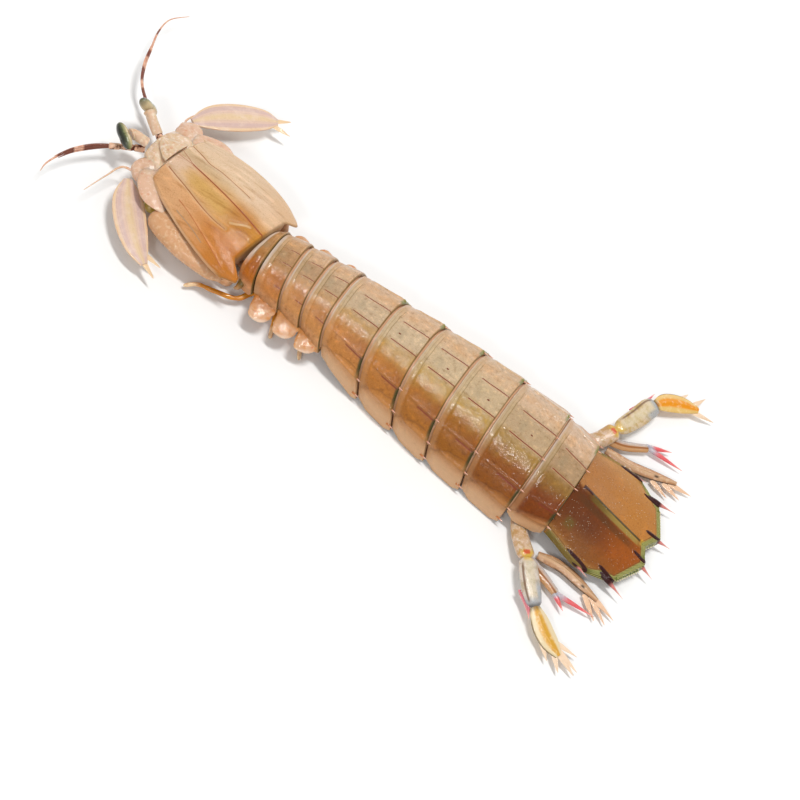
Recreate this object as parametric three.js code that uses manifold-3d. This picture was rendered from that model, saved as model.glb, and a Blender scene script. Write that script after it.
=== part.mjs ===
// Mantis shrimp, life size, in millimetres, +Z up, head towards +X, resting on z = 0.
// The body lies along X and the head is turned a little to its right.
import * as THREE from 'three';
import { mergeVertices } from 'three/addons/utils/BufferGeometryUtils.js';
import Module from 'manifold-3d';

const wasm = await Module();
wasm.setup();

// Driving dimensions of the body
const GAP = 0.3;
const THORAX_LENGTHS = { thorax_5: 3.2, thorax_6: 6.6, thorax_7: 6.4, thorax_8: 6.8 };
const ABDOMEN_LENGTHS = {
  abdomen_1: 12.0, abdomen_2: 11.1, abdomen_3: 11.5, abdomen_4: 12.0, abdomen_5: 14.6, abdomen_6: 10.6,
};
// Half width, height of the back, height of the lower edge and backward sweep of the side
// (millimetres for each millimetre down) at the rear of each somite
const REAR_OF = {
  carapace: { half: 9.2, top: 12.3, low: 4.6, sweep: 0.3 },
  thorax_5: { half: 9.8, top: 12.6, low: 4.6, sweep: 0.32 },
  thorax_6: { half: 10.3, top: 13.0, low: 4.6, sweep: 0.34 },
  thorax_7: { half: 10.9, top: 13.4, low: 4.6, sweep: 0.36 },
  thorax_8: { half: 12.2, top: 14.0, low: 3.6, sweep: 0.38 },
  abdomen_1: { half: 13.9, top: 14.6, low: 0, sweep: 0.4 },
  abdomen_2: { half: 15.2, top: 15.0, low: 0, sweep: 0.38 },
  abdomen_3: { half: 16.4, top: 15.0, low: 0, sweep: 0.32 },
  abdomen_4: { half: 16.9, top: 14.8, low: 0, sweep: 0.24 },
  abdomen_5: { half: 17.3, top: 13.6, low: 0, sweep: 0.06 },
  abdomen_6: { half: 14.8, top: 10.8, low: 3.4, sweep: 0 },
};
// Heading of each thoracic somite and of its front plane, in degrees, and of the head
const HEADINGS = { thorax_8: 2, thorax_7: 4, thorax_6: 5, thorax_5: 0 };
const FRONT_PLANES = { thorax_8: 3, thorax_7: 5, thorax_6: 2, thorax_5: -9 };
const HEAD_HEADING = -12;
const BELLY = 4.6;

// Carapace
const CARAPACE_LENGTH = 29.4;
const CARAPACE_HALF = [13.3, 14.1, 14.2, 13.9, 13.3, 12.4, 11.2, 9.4];
const CARAPACE_TOP = [13.6, 14.0, 14.2, 14.1, 13.8, 13.3, 12.7, 11.9];
const SHELL = 1.0;

// Telson, measured back from its base: front margin, middle notch of the rear margin, its two points
// and its corners, with their places to the side; heights of the crown and of the edge, front and rear
const TELSON = {
  front: 0.3, notch: 23.2, point: 25.4, pointSide: 4.2, corner: 21.2, cornerSide: 12.6,
  crown: [10.2, 4.4], edge: [5.2, 2.8], under: [4.3, 2.0], crest: 0.9,
};

const DEGREE = Math.PI / 180;

// Colours
const finish = (color, roughness = 0.35) => (
  new THREE.MeshStandardMaterial({ color, roughness, metalness: 0 })
);
const SHELL_TAN = finish(0xc79a63);
const SHELL_AMBER = finish(0xb87a3c);
const SHELL_OLIVE = finish(0xa39163);
const SHELL_PALE = finish(0xdcbb94);
const EYE_GREEN = finish(0x4d5a2a, 0.12);
const SCALE_LILAC = finish(0xdcc2b4, 0.45);
const FLAGELLUM_BROWN = finish(0x7a4334, 0.5);
const CLAW_TAN = finish(0xcf9d78, 0.3);
const LEG_ORANGE = finish(0xd08a32, 0.4);
const PLEOPOD_PALE = finish(0xe0b9a0, 0.5);
const UROPOD_CREAM = finish(0xc9b57a, 0.35);
const UROPOD_YELLOW = finish(0xd9a03a, 0.4);

const vec = (x, y, z) => new THREE.Vector3(x, y, z);
const mix = (a, b, t) => a + (b - a) * t;
const clamp01 = (t) => Math.min(1, Math.max(0, t));
const smooth = (a, b, t) => {
  const u = clamp01((t - a) / (b - a));
  return u * u * (3 - 2 * u);
};

// Value of a list of evenly spaced numbers at t from 0 to 1
function along(values, t) {
  const place = clamp01(t) * (values.length - 1);
  const i = Math.max(0, Math.min(values.length - 2, Math.floor(place)));
  return mix(values[i], values[i + 1] ?? values[i], place - i);
}

// Closed geometry from points and faces, turned so that its faces point out
function closed(points, faces) {
  let volume = 0;
  for (const [a, b, c] of faces) {
    volume += points[a].dot(vec(0, 0, 0).crossVectors(points[b], points[c]));
  }
  const turned = volume < 0 ? faces.map(([a, b, c]) => [a, c, b]) : faces;
  const geometry = new THREE.BufferGeometry();
  geometry.setAttribute('position', new THREE.Float32BufferAttribute(points.flatMap((p) => p.toArray()), 3));
  geometry.setIndex(turned.flat());
  return geometry;
}

// Faces that close a plane ring of points; sense +1 follows the ring, -1 goes against it
function capFaces(ring, start, sense) {
  const normal = vec(0, 0, 0);
  ring.forEach((p, i) => normal.add(vec(0, 0, 0).crossVectors(p, ring[(i + 1) % ring.length])));
  normal.normalize();
  const across = Math.abs(normal.z) < 0.9 ? vec(0, 0, 1).cross(normal).normalize() : vec(1, 0, 0);
  across.addScaledVector(normal, -across.dot(normal)).normalize();
  const up = vec(0, 0, 0).crossVectors(normal, across);
  const flat = ring.map((p) => new THREE.Vector2(p.dot(across), p.dot(up)));
  return THREE.ShapeUtils.triangulateShape(flat, []).map(([a, b, c]) => {
    const area = flat[b].clone().sub(flat[a]).cross(flat[c].clone().sub(flat[a]));
    return area * sense > 0 ? [start + a, start + b, start + c] : [start + a, start + c, start + b];
  });
}

// Closed solid through rings of equally many points; a first or last ring of one point is a tip
function loft(rings) {
  const points = [];
  const starts = rings.map((ring) => {
    points.push(...ring);
    return points.length - ring.length;
  });
  const faces = [];
  for (let i = 0; i + 1 < rings.length; i += 1) {
    const count = Math.max(rings[i].length, rings[i + 1].length);
    const near = (j) => starts[i] + (rings[i].length === 1 ? 0 : j % count);
    const far = (j) => starts[i + 1] + (rings[i + 1].length === 1 ? 0 : j % count);
    for (let j = 0; j < count; j += 1) {
      if (rings[i].length > 1) faces.push([near(j), near(j + 1), far(j)]);
      if (rings[i + 1].length > 1) faces.push([near(j + 1), far(j + 1), far(j)]);
    }
  }
  const last = rings.length - 1;
  if (rings[0].length > 1) faces.push(...capFaces(rings[0], starts[0], -1));
  if (rings[last].length > 1) faces.push(...capFaces(rings[last], starts[last], 1));
  return closed(points, faces);
}

// Closed slab between two height fields over a grid of columns and rows
function slab(columns, rows, place, top, bottom) {
  const points = [];
  const index = (side, i, j) => (side * columns.length + i) * rows.length + j;
  for (const height of [top, bottom]) {
    for (const s of columns) {
      for (const w of rows) {
        const [x, y] = place(s, w);
        points.push(vec(x, y, height(s, w)));
      }
    }
  }
  const faces = [];
  const quad = (a, b, c, d) => faces.push([a, b, c], [a, c, d]);
  const m = columns.length - 1;
  const n = rows.length - 1;
  for (let i = 0; i < m; i += 1) {
    for (let j = 0; j < n; j += 1) {
      quad(index(0, i, j), index(0, i + 1, j), index(0, i + 1, j + 1), index(0, i, j + 1));
      quad(index(1, i, j), index(1, i, j + 1), index(1, i + 1, j + 1), index(1, i + 1, j));
    }
    quad(index(0, i, 0), index(1, i, 0), index(1, i + 1, 0), index(0, i + 1, 0));
    quad(index(0, i, n), index(0, i + 1, n), index(1, i + 1, n), index(1, i, n));
  }
  for (let j = 0; j < n; j += 1) {
    quad(index(0, 0, j), index(0, 0, j + 1), index(1, 0, j + 1), index(1, 0, j));
    quad(index(0, m, j), index(1, m, j), index(1, m, j + 1), index(0, m, j + 1));
  }
  return closed(points, faces);
}

// Smooth path through a few points, sampled evenly
function path(points, steps) {
  return new THREE.CatmullRomCurve3(points.map((p) => vec(...p)), false, 'centripetal').getPoints(steps);
}

// Route of a piece that follows another: it starts beyond the end of the other's route by a gap
function following(before, route, gap = GAP) {
  const end = vec(...before[before.length - 1]);
  const start = vec(...route[0]).sub(end).setLength(gap).add(end);
  return [start.toArray(), ...route];
}

// Limb along a path, of oval section; wide and high are lists of half sizes along it
function limb(centres, wide, high, sides = 8, pointed = false) {
  const count = centres.length;
  const rings = centres.map((centre, i) => {
    const t = i / (count - 1);
    if (pointed && i === count - 1) return [centre];
    const heading = centres[Math.min(i + 1, count - 1)].clone().sub(centres[Math.max(i - 1, 0)]).normalize();
    const side = vec(0, 0, 1).cross(heading).normalize();
    const up = vec(0, 0, 0).crossVectors(heading, side);
    return Array.from({ length: sides }, (_, j) => {
      const turn = ((j + 0.5) / sides) * 2 * Math.PI;
      return centre.clone()
        .addScaledVector(side, Math.cos(turn) * along(wide, t))
        .addScaledVector(up, Math.sin(turn) * along(high, t));
    });
  });
  return loft(rings);
}

// Leaf along a path: two edges, a flat underside and a low ridge above its middle line
function leaf(centres, left, right, thick, ridge = 0.2) {
  const count = centres.length;
  const rings = centres.map((centre, i) => {
    const t = i / (count - 1);
    const heading = centres[Math.min(i + 1, count - 1)].clone().sub(centres[Math.max(i - 1, 0)]).normalize();
    const side = vec(0, 0, 1).cross(heading).normalize();
    const up = vec(0, 0, 0).crossVectors(heading, side);
    const body = along(thick, t);
    const at = (across, lift) => centre.clone().addScaledVector(side, across).addScaledVector(up, lift);
    const l = along(left, t);
    const r = -along(right, t);
    return [
      at(l, -0.2), at(l, 0.2), at(l * 0.5, body * 0.8), at(l * 0.12, body), at(0, body + ridge),
      at(r * 0.12, body), at(r * 0.5, body * 0.8), at(r, 0.2), at(r, -0.2), at(0, -body * 0.5),
    ];
  });
  return loft(rings);
}

// Pointed spine with a sunk root
function spine(root, tip, radius, sides = 5) {
  const heading = tip.clone().sub(root).normalize();
  const side = vec(0, 0, 1).cross(heading);
  if (side.length() < 0.1) side.set(0, 1, 0);
  side.normalize();
  const up = vec(0, 0, 0).crossVectors(heading, side);
  const ring = Array.from({ length: sides }, (_, j) => {
    const turn = (j / sides) * 2 * Math.PI;
    return root.clone()
      .addScaledVector(side, Math.cos(turn) * radius)
      .addScaledVector(up, Math.sin(turn) * radius);
  });
  return loft([ring, [tip]]);
}

// Fringe of stiff bristles: starts and tips are lists of points
function fringe(starts, tips, radius) {
  return starts.map((start, i) => spine(vec(...start), vec(...tips[i]), radius, 4));
}

// Ball stretched to three half sizes
function ovoid(centre, x, y, z, across = 12, round = 8) {
  const geometry = new THREE.SphereGeometry(1, across, round);
  geometry.rotateX(Math.PI / 2);
  geometry.scale(x, y, z);
  geometry.translate(...centre.toArray());
  return geometry;
}

function toManifold(geometry) {
  const plain = geometry.clone();
  plain.deleteAttribute('normal');
  plain.deleteAttribute('uv');
  const merged = mergeVertices(plain, 1e-4);
  return new wasm.Manifold(new wasm.Mesh({
    numProp: 3,
    vertProperties: Float32Array.from(merged.attributes.position.array),
    triVerts: Uint32Array.from(merged.index.array),
  }));
}

// Union of pieces, of which the largest closed surface is kept
function join(pieces) {
  let whole = toManifold(pieces[0]);
  for (const piece of pieces.slice(1)) whole = whole.add(toManifold(piece));
  const bodies = whole.decompose().sort((a, b) => b.volume() - a.volume());
  const mesh = bodies[0].getMesh();
  const geometry = new THREE.BufferGeometry();
  const places = Float32Array.from(mesh.vertProperties);
  geometry.setAttribute('position', new THREE.Float32BufferAttribute(places, 3));
  geometry.setIndex(Array.from(mesh.triVerts));
  return geometry;
}

// Body axis: places of the somite boundaries, from the rear of abdomen 6 forwards
const BODY_ORDER = [
  'abdomen_6', 'abdomen_5', 'abdomen_4', 'abdomen_3', 'abdomen_2', 'abdomen_1',
  'thorax_8', 'thorax_7', 'thorax_6', 'thorax_5',
];
const somites = {};
let axisX = 0;
let axisY = 0;
let planeHeading = 0;
BODY_ORDER.forEach((name, i) => {
  const length = ABDOMEN_LENGTHS[name] ?? THORAX_LENGTHS[name];
  const heading = (HEADINGS[name] ?? 0) * DEGREE;
  const frontHeading = (FRONT_PLANES[name] ?? (name === 'abdomen_1' ? 1 : 0)) * DEGREE;
  const ahead = BODY_ORDER[i + 1] ?? 'carapace';
  somites[name] = {
    name, length,
    rear: { x: axisX, y: axisY, heading: planeHeading, ...REAR_OF[name] },
    front: {
      x: axisX + length * Math.cos(heading), y: axisY + length * Math.sin(heading),
      heading: frontHeading, ...REAR_OF[ahead],
    },
  };
  axisX = somites[name].front.x;
  axisY = somites[name].front.y;
  planeHeading = frontHeading;
});
const HEAD_ORIGIN = vec(axisX, axisY, 0);

// Arch of a somite: height from 0 to 1 at a fraction of its half width
const ARCH_POWER = 2.5;
const archHeight = (f) => (1 - Math.abs(f) ** ARCH_POWER) ** (1 / ARCH_POWER);

// Keels that run along each side of the back, as fractions of the half width
const KEELS = { submedian: 0.21, intermediate: 0.72, lateral: 0.93 };
// Places round the arch that carry a row of points, as fractions of the half width
const ARCH_STOPS = [0, 0.18, 0.21, 0.24, 0.48, 0.69, 0.72, 0.75, 0.86, 0.93, 0.985];

const nearKeel = (f) => Object.values(KEELS).some((at) => Math.abs(at - f) < 1e-6);

// Point of a station's swept cross plane
function onStation(station, y, z) {
  const cos = Math.cos(station.heading);
  const sin = Math.sin(station.heading);
  const swept = station.sweep * (station.top - z);
  return vec(station.x - y * sin - swept * cos, station.y + y * cos - swept * sin, z);
}

// Ring of a somite across the body: arch above, a flat foot on each side, and the belly between
const FOOT_WIDTH = 1.6;
const WALL_WIDTH = 2.6;
function somiteRing(station, { inset = 0, keel = 0, low = station.low, belly = BELLY }) {
  const half = station.half - inset;
  const rise = station.top - inset - station.low;
  const foot = Math.max(low, station.low);
  const reach = archHeight((foot - station.low) / rise);
  const sideOf = (side) => {
    const points = ARCH_STOPS.map((stop) => {
      const f = stop * reach;
      const z = archHeight(f);
      const lift = nearKeel(stop) ? keel : 0;
      const slope = Math.atan2(f ** 1.5 / half, z ** 1.5 / rise);
      return [side * (half * f + lift * Math.sin(slope)), station.low + rise * z + lift * Math.cos(slope)];
    });
    const edge = half * reach;
    points.push([side * edge, foot]);
    points.push([side * (edge - FOOT_WIDTH), foot]);
    points.push([side * (edge - WALL_WIDTH), Math.max(foot, belly)]);
    return points;
  };
  const left = sideOf(1);
  const right = sideOf(-1).slice(1).reverse();
  const outline = [...left, [0, Math.max(foot, belly)], ...right];
  return outline.map(([y, z]) => onStation(station, y, z));
}

// Station of a somite at a distance ahead of its rear margin
function stationOf(somite, ahead) {
  const t = ahead / somite.length;
  const { rear, front } = somite;
  return Object.fromEntries(Object.keys(rear).map((key) => [key, mix(rear[key], front[key], t)]));
}

const shifted = (station, ahead) => ({
  ...station,
  x: station.x + ahead * Math.cos(station.heading),
  y: station.y + ahead * Math.sin(station.heading),
});

// Shell plate of one somite: its neck slides into the socket of the plate ahead of it.
// The rings' insets and the rise of the lower edge at each corner are in millimetres, and the two
// middle rings stand at fractions of the length ahead of the rear margin.
const LIP = 0.6;
const SOCKET = 1.3;
const NECK = { clear: 0.35, reach: 0.9, shoulder: 0.35 };
const INSETS = { front: 0.3, middle: 0.05, back: -0.1, rear: -0.25 };
const CORNER_RISE = { front: 1.4, rear: 0.7 };
const FOOT_FRONT = 0.72;
const FOOT_REAR = 0.25;
function somitePlate(name, { keel = 0.45, neck = true, socket = true, low }) {
  const somite = somites[name];
  const foot = low ?? somite.rear.low;
  const at = (ahead, options) => somiteRing(stationOf(somite, ahead), options);
  const rings = [];
  const inner = BELLY + LIP;
  if (neck) {
    const narrow = { inset: LIP + NECK.clear, low: inner + NECK.clear, belly: inner + NECK.clear };
    rings.push(somiteRing(shifted(somite.front, NECK.reach), narrow));
    rings.push(somiteRing(shifted(somite.front, -GAP), narrow));
  }
  const shoulder = shifted(somite.front, neck ? -GAP - NECK.shoulder : -GAP);
  rings.push(somiteRing(shoulder, { inset: INSETS.front, low: foot + CORNER_RISE.front }));
  rings.push(at(somite.length * FOOT_FRONT, { inset: INSETS.middle, keel: keel * 0.5, low: foot }));
  rings.push(at(somite.length * FOOT_REAR, { inset: INSETS.back, keel: keel * 0.9, low: foot }));
  rings.push(at(0, { inset: INSETS.rear, keel, low: foot + CORNER_RISE.rear }));
  if (socket) {
    const hollow = { inset: LIP, low: inner, belly: inner };
    rings.push(somiteRing(somite.rear, hollow));
    rings.push(somiteRing(shifted(somite.rear, SOCKET), hollow));
  }
  return loft(rings);
}

// Spines at the ends of the keels, on the rear margin of a somite; sunk root, tip behind the margin
const SPINE = { sunk: 0.9, radius: 0.4, length: 1.25, rise: 0.2 };
function marginSpines(name, fractions) {
  const { rear } = somites[name];
  return fractions.flatMap((f) => [1, -1].map((side) => {
    const z = rear.low + (rear.top - rear.low) * archHeight(f);
    const y = side * rear.half * f;
    const rootAt = onStation(shifted(rear, SPINE.sunk), y * (1 - 0.2 / rear.half), z - 0.1);
    const outward = y * (1 + SPINE.rise / rear.half);
    const tip = onStation(shifted(rear, -SPINE.length), outward, z + SPINE.rise * (1 - f));
    return spine(rootAt, tip, SPINE.radius, 4);
  }));
}

// Points beside a station: distance out from its side, ahead of it, and height
function beside(station, side, places) {
  return places.map(([distance, ahead, z]) => (
    onStation(shifted(station, ahead), side * (station.half + distance), z)
  ));
}

// Lateral process of a thoracic somite, a flat lobe that reaches out at each side. The lobes on the
// right lie closer to the body, at this share of the reach of those on the left.
const RIGHT_REACH = 0.4;
const PROCESS_HEIGHT = 5.9;
const PROCESS_LIMB = { wide: [2.3, 2.7, 1.8], high: [0.8, 0.65, 0.45] };
function lateralProcess(name, side, reach, forward) {
  const station = stationOf(somites[name], somites[name].length * 0.52);
  const centres = beside(station, side, [
    [-0.3, 0, PROCESS_HEIGHT + 0.4],
    [reach * 0.6, forward * 0.4, PROCESS_HEIGHT],
    [reach, forward, PROCESS_HEIGHT - 0.7],
  ]);
  return limb(centres, PROCESS_LIMB.wide, PROCESS_LIMB.high, 6);
}

// Curved spine at each side of the first free thoracic somite
const SIDE_SPINE = { places: [[-0.4, 0, 6.2], [1.0, 0.2, 5.8], [1.7, 1.0, 5.4]], wide: [0.9, 0.7, 0.1] };
function sideSpine(name, side) {
  const station = stationOf(somites[name], somites[name].length * 0.6);
  return limb(beside(station, side, SIDE_SPINE.places), SIDE_SPINE.wide, [0.6, 0.5, 0.1], 5, true);
}

const root = new THREE.Group();
const body = new THREE.Group();
root.add(body);
const head = new THREE.Group();
head.position.copy(HEAD_ORIGIN);
head.rotation.z = HEAD_HEADING * DEGREE;
body.add(head);

function addNode(name, geometry, material, parent = body) {
  const mesh = new THREE.Mesh(geometry, material);
  mesh.name = name;
  parent.add(mesh);
}

// Both sides of a paired piece, from one function of the side, +1 left and -1 right
function addPair(name, build, material, parent = body) {
  addNode(`${name}_L`, build(1), material, parent);
  addNode(`${name}_R`, build(-1), material, parent);
}

// Abdomen
const PLATE_COLOURS = {
  thorax_5: SHELL_AMBER, thorax_6: SHELL_TAN, thorax_7: SHELL_TAN, thorax_8: SHELL_TAN,
  abdomen_1: SHELL_TAN, abdomen_2: SHELL_OLIVE, abdomen_3: SHELL_OLIVE, abdomen_4: SHELL_OLIVE,
  abdomen_5: SHELL_OLIVE, abdomen_6: SHELL_AMBER,
};
// Keels that end in a spine, by somite; the marginal spine stands at the lower rear corner
const MARGINAL = 0.995;
const SPINED_KEELS = {
  abdomen_1: [KEELS.lateral, MARGINAL],
  abdomen_2: [KEELS.intermediate, KEELS.lateral, MARGINAL],
  abdomen_3: [KEELS.intermediate, KEELS.lateral, MARGINAL],
  abdomen_4: [KEELS.intermediate, KEELS.lateral, MARGINAL],
  abdomen_5: [KEELS.submedian, KEELS.intermediate, KEELS.lateral, MARGINAL],
  abdomen_6: [KEELS.submedian, KEELS.intermediate, KEELS.lateral],
};
for (const name of Object.keys(ABDOMEN_LENGTHS)) {
  const plate = somitePlate(name, { low: somites[name].rear.low, socket: name !== 'abdomen_6' });
  addNode(name, join([plate, ...marginSpines(name, SPINED_KEELS[name])]), PLATE_COLOURS[name]);
}

// Thorax
const PROCESS = { thorax_6: [4.4, -1.6], thorax_7: [3.9, -1.6], thorax_8: [2.8, -1.4] };
for (const name of Object.keys(THORAX_LENGTHS)) {
  const first = name === 'thorax_5';
  const plate = somitePlate(name, {
    keel: first ? 0 : 0.3, neck: name === 'thorax_7' || name === 'thorax_8', socket: !first,
  });
  const process = PROCESS[name];
  const pieces = [plate];
  if (process) {
    const [reach, forward] = process;
    pieces.push(lateralProcess(name, 1, reach, forward));
    pieces.push(lateralProcess(name, -1, reach * RIGHT_REACH, forward * RIGHT_REACH));
  }
  if (first) pieces.push(...[1, -1].map((side) => sideSpine(name, side)));
  addNode(name, join(pieces), PLATE_COLOURS[name]);
}

// Telson
const TELSON_HALF = [13.9, 14.6, 15.4, 15.9, 15.2, 13.9, TELSON.cornerSide];
const TELSON_COLUMNS = [0, 0.14, 0.32, 0.5, 0.66, 0.82, 1];
const TELSON_ROWS = [
  -1, -0.8, -0.6, -0.4, -0.3, -0.2, -0.1, -0.05, 0, 0.05, 0.1, 0.2, 0.3, 0.4, 0.6, 0.8, 1,
];
function telsonRear(w) {
  const y = Math.abs(w) * TELSON.cornerSide;
  if (y < TELSON.pointSide) return mix(TELSON.notch, TELSON.point, y / TELSON.pointSide);
  return mix(TELSON.point, TELSON.corner, (y - TELSON.pointSide) / (TELSON.cornerSide - TELSON.pointSide));
}
function telsonPlace(s, w) {
  const p = mix(TELSON.front, telsonRear(w), s);
  return [-p, along(TELSON_HALF, s) * w];
}
function telsonTop(s, w) {
  const crown = mix(...TELSON.crown, s ** 0.8);
  const crest = w === 0 ? TELSON.crest * (1 - s * 0.4) : 0;
  return mix(mix(...TELSON.edge, s), crown, 1 - Math.abs(w) ** 2.2) + crest;
}
function telsonBottom(s, w) {
  return mix(...TELSON.under, s) - 0.4 * (1 - w * w) * (1 - s);
}
function telsonTooth(side, start, tip, radius) {
  const root = vec(-start[0], side * start[1], start[2]);
  const middle = root.clone().lerp(vec(-tip[0], side * tip[1], tip[2]), 0.55);
  const end = vec(-tip[0], side * tip[1], tip[2]);
  return limb([root, middle, end], [radius * 0.8, radius, 0.1], [radius * 0.8, radius * 0.8, 0.1], 6, true);
}
const TELSON_TEETH = [
  { start: [8.0, 14.6, 3.9], tip: [15.2, 16.2, 3.2], radius: 0.9 },
  { start: [15.8, 12.4, 3.5], tip: [25.3, 14.5, 2.4], radius: 1.05 },
  { start: [21.0, 3.6, 3.9], tip: [28.7, 5.1, 2.5], radius: 1.1 },
];
// Denticles between the teeth of the rear margin: start, end and count of each row, back and side
const DENTICLE_ROWS = [
  { from: [21.6, 11.4], to: [24.6, 5.9], count: 8 },
  { from: [24.4, 2.6], to: [23.3, 0.5], count: 3 },
  { from: [17.6, 14.6], to: [20.2, 13.9], count: 2 },
];
const DENTICLE = { height: 3.1, sunk: 0.5, length: 0.8, radius: 0.42 };
function telsonDenticles(side) {
  return DENTICLE_ROWS.flatMap(({ from, to, count }) => Array.from({ length: count }, (_, i) => {
    const t = count > 1 ? i / (count - 1) : 0;
    const p = mix(from[0], to[0], t);
    const y = side * mix(from[1], to[1], t);
    const rootAt = vec(-p + DENTICLE.sunk, y, DENTICLE.height);
    return spine(rootAt, vec(-p - DENTICLE.length, y * 1.02, DENTICLE.height - 0.3), DENTICLE.radius, 4);
  }));
}
function buildTelson() {
  const plate = slab(TELSON_COLUMNS, TELSON_ROWS, telsonPlace, telsonTop, telsonBottom);
  const ofSide = (side) => [
    ...TELSON_TEETH.map(({ start, tip, radius }) => telsonTooth(side, start, tip, radius)),
    ...telsonDenticles(side),
  ];
  return join([plate, ...ofSide(1), ...ofSide(-1)]);
}
addNode('telson', buildTelson(), SHELL_AMBER);

// Carapace, in the frame of the head: u ahead of its rear margin, v to the left
const CARAPACE_COLUMNS = [0, 0.08, 0.2, 0.35, 0.5, 0.65, 0.8, 0.92, 1];
const CARAPACE_ROWS = [-1, -0.9, -0.78, -0.6, -0.56, -0.42, -0.38, -0.34, -0.2, -0.03, 0,
  0.03, 0.2, 0.34, 0.38, 0.42, 0.56, 0.6, 0.78, 0.9, 1];
const CARAPACE_KEEL = 0.78;
const BODY_EDGE = 0.58;
const HEAD_BELLY = 6.8;
// How far the rear lobes reach behind the middle, and how the two sides lean, rear and front
const REAR_LOBES = { left: 4.4, right: 2.0 };
const LEAN = [-0.4, 1.0];
// Fall of the sides below the middle, rear and front, and the lines raised and sunk in the shell
const SIDE_FALL = [4.0, 3.0];
const GROOVE = { at: 0.38, depth: 0.35 };
const RIDGE = 0.3;
const FRONT_BOW = 0.6;
function carapaceRear(w) {
  const lobe = smooth(0.62, 0.86, Math.abs(w)) - smooth(0.88, 1, Math.abs(w)) * 0.75;
  return -(w > 0 ? REAR_LOBES.left : REAR_LOBES.right) * lobe;
}
function carapaceHalf(s) {
  return along(CARAPACE_HALF, s);
}
function carapacePlace(s, w) {
  const lean = mix(...LEAN, s) * w * w;
  return [mix(carapaceRear(w), CARAPACE_LENGTH - FRONT_BOW * w * w, s), carapaceHalf(s) * w - lean];
}
function carapaceTop(s, w) {
  const drop = mix(...SIDE_FALL, s) * Math.abs(w) ** 2.3;
  const groove = Math.abs(w) === GROOVE.at ? GROOVE.depth : 0;
  const keel = w === 0 || Math.abs(w) === CARAPACE_KEEL ? RIDGE : 0;
  return along(CARAPACE_TOP, s) - drop - groove + keel;
}
function carapaceBottom(s, w) {
  return Math.abs(w) < BODY_EDGE ? HEAD_BELLY : carapaceTop(s, w) - SHELL;
}
function buildCarapace() {
  const shield = slab(CARAPACE_COLUMNS, CARAPACE_ROWS, carapacePlace, carapaceTop, carapaceBottom);
  const spines = [1, -1].map((side) => {
    const [u, v] = carapacePlace(1, side * 0.94);
    const z = carapaceTop(1, 0.94) - SHELL / 2;
    return spine(vec(u - 1, v, z), vec(u + 1.5, v + side * 0.25, z - 0.3), 0.5);
  });
  return join([shield, ...spines]);
}
addNode('carapace', buildCarapace(), SHELL_TAN, head);

// Rostral plate and front of the head
const ROSTRUM = {
  start: CARAPACE_LENGTH + GAP, tip: 35.0, half: 3.6, top: [11.9, 11.0], under: [10.6, 10.2],
};
function rostralPlace(s, w) {
  const half = ROSTRUM.half * (1 - 0.62 * s ** 1.6);
  return [mix(ROSTRUM.start, ROSTRUM.tip, s) - 0.8 * s * w * w, half * w];
}
addNode('rostral_plate', slab(
  [0, 0.25, 0.5, 0.75, 1], [-1, -0.6, -0.1, 0, 0.1, 0.6, 1], rostralPlace,
  (s, w) => mix(...ROSTRUM.top, s) - 0.8 * w * w + (w === 0 ? 0.2 : 0),
  (s) => mix(...ROSTRUM.under, s),
), SHELL_PALE, head);

const HEAD_END = 36.2;
const HEAD_FRONT = {
  centres: [[CARAPACE_LENGTH + GAP, -0.6, 7.9], [32.2, -0.6, 7.9], [34.6, -0.5, 7.5], [HEAD_END, -0.4, 7.2]],
  wide: [6.4, 6.2, 5.6, 4.2], high: [2.25, 2.25, 2.1, 1.7],
};
const headCentres = HEAD_FRONT.centres.map((centre) => vec(...centre));
addNode('head_front', limb(headCentres, HEAD_FRONT.wide, HEAD_FRONT.high, 14), SHELL_PALE, head);

// Eyes: stalk from the front of the head, and a two-lobed cornea set across its end
const EYES = {
  L: {
    root: [HEAD_END + 0.6, 2.4, 8.2], end: [40.1, 4.6], centre: [41.1, 6.3, 9.1], axis: [0.92, -0.34, 0.06],
  },
  R: {
    root: [HEAD_END + 1.1, -1.5, 8.2], end: [42.2, -3.1], centre: [43.8, -3.8, 9.8], axis: [0.4, 0.5, 0.77],
  },
};
const STALK = { wide: [1.3, 1.3, 1.6], high: [1.2, 1.2, 1.2], bend: 0.7 };
const CORNEA = {
  half: 3.7, radius: 1.45, sides: 12,
  places: [-1, -0.86, -0.5, 0, 0.5, 0.86, 1], radii: [0.25, 0.75, 1, 0.82, 1, 0.75, 0.25],
};
function cornea({ centre, axis }) {
  const middle = vec(...centre);
  const line = vec(...axis).normalize();
  const side = vec(0, 0, 1).cross(line).normalize();
  const up = vec(0, 0, 0).crossVectors(line, side);
  return loft(CORNEA.places.map((t, i) => Array.from({ length: CORNEA.sides }, (_, j) => {
    const turn = (j / CORNEA.sides) * 2 * Math.PI;
    const radius = CORNEA.radius * CORNEA.radii[i];
    return middle.clone().addScaledVector(line, t * CORNEA.half)
      .addScaledVector(side, Math.cos(turn) * radius)
      .addScaledVector(up, Math.sin(turn) * radius);
  })));
}
for (const [tag, eye] of Object.entries(EYES)) {
  const centre = vec(...eye.centre);
  const axis = vec(...eye.axis).normalize();
  const inward = vec(...eye.end, centre.z).sub(centre);
  inward.addScaledVector(axis, -inward.dot(axis)).normalize();
  const stop = centre.clone().addScaledVector(inward, CORNEA.radius + GAP);
  const bend = stop.clone().addScaledVector(inward, STALK.bend);
  const stalk = limb([vec(...eye.root), bend, stop], STALK.wide, STALK.high, 10);
  addNode(`eyestalk_${tag}`, stalk, SHELL_PALE, head);
  addNode(`eye_${tag}`, cornea(eye), EYE_GREEN, head);
}

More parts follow.
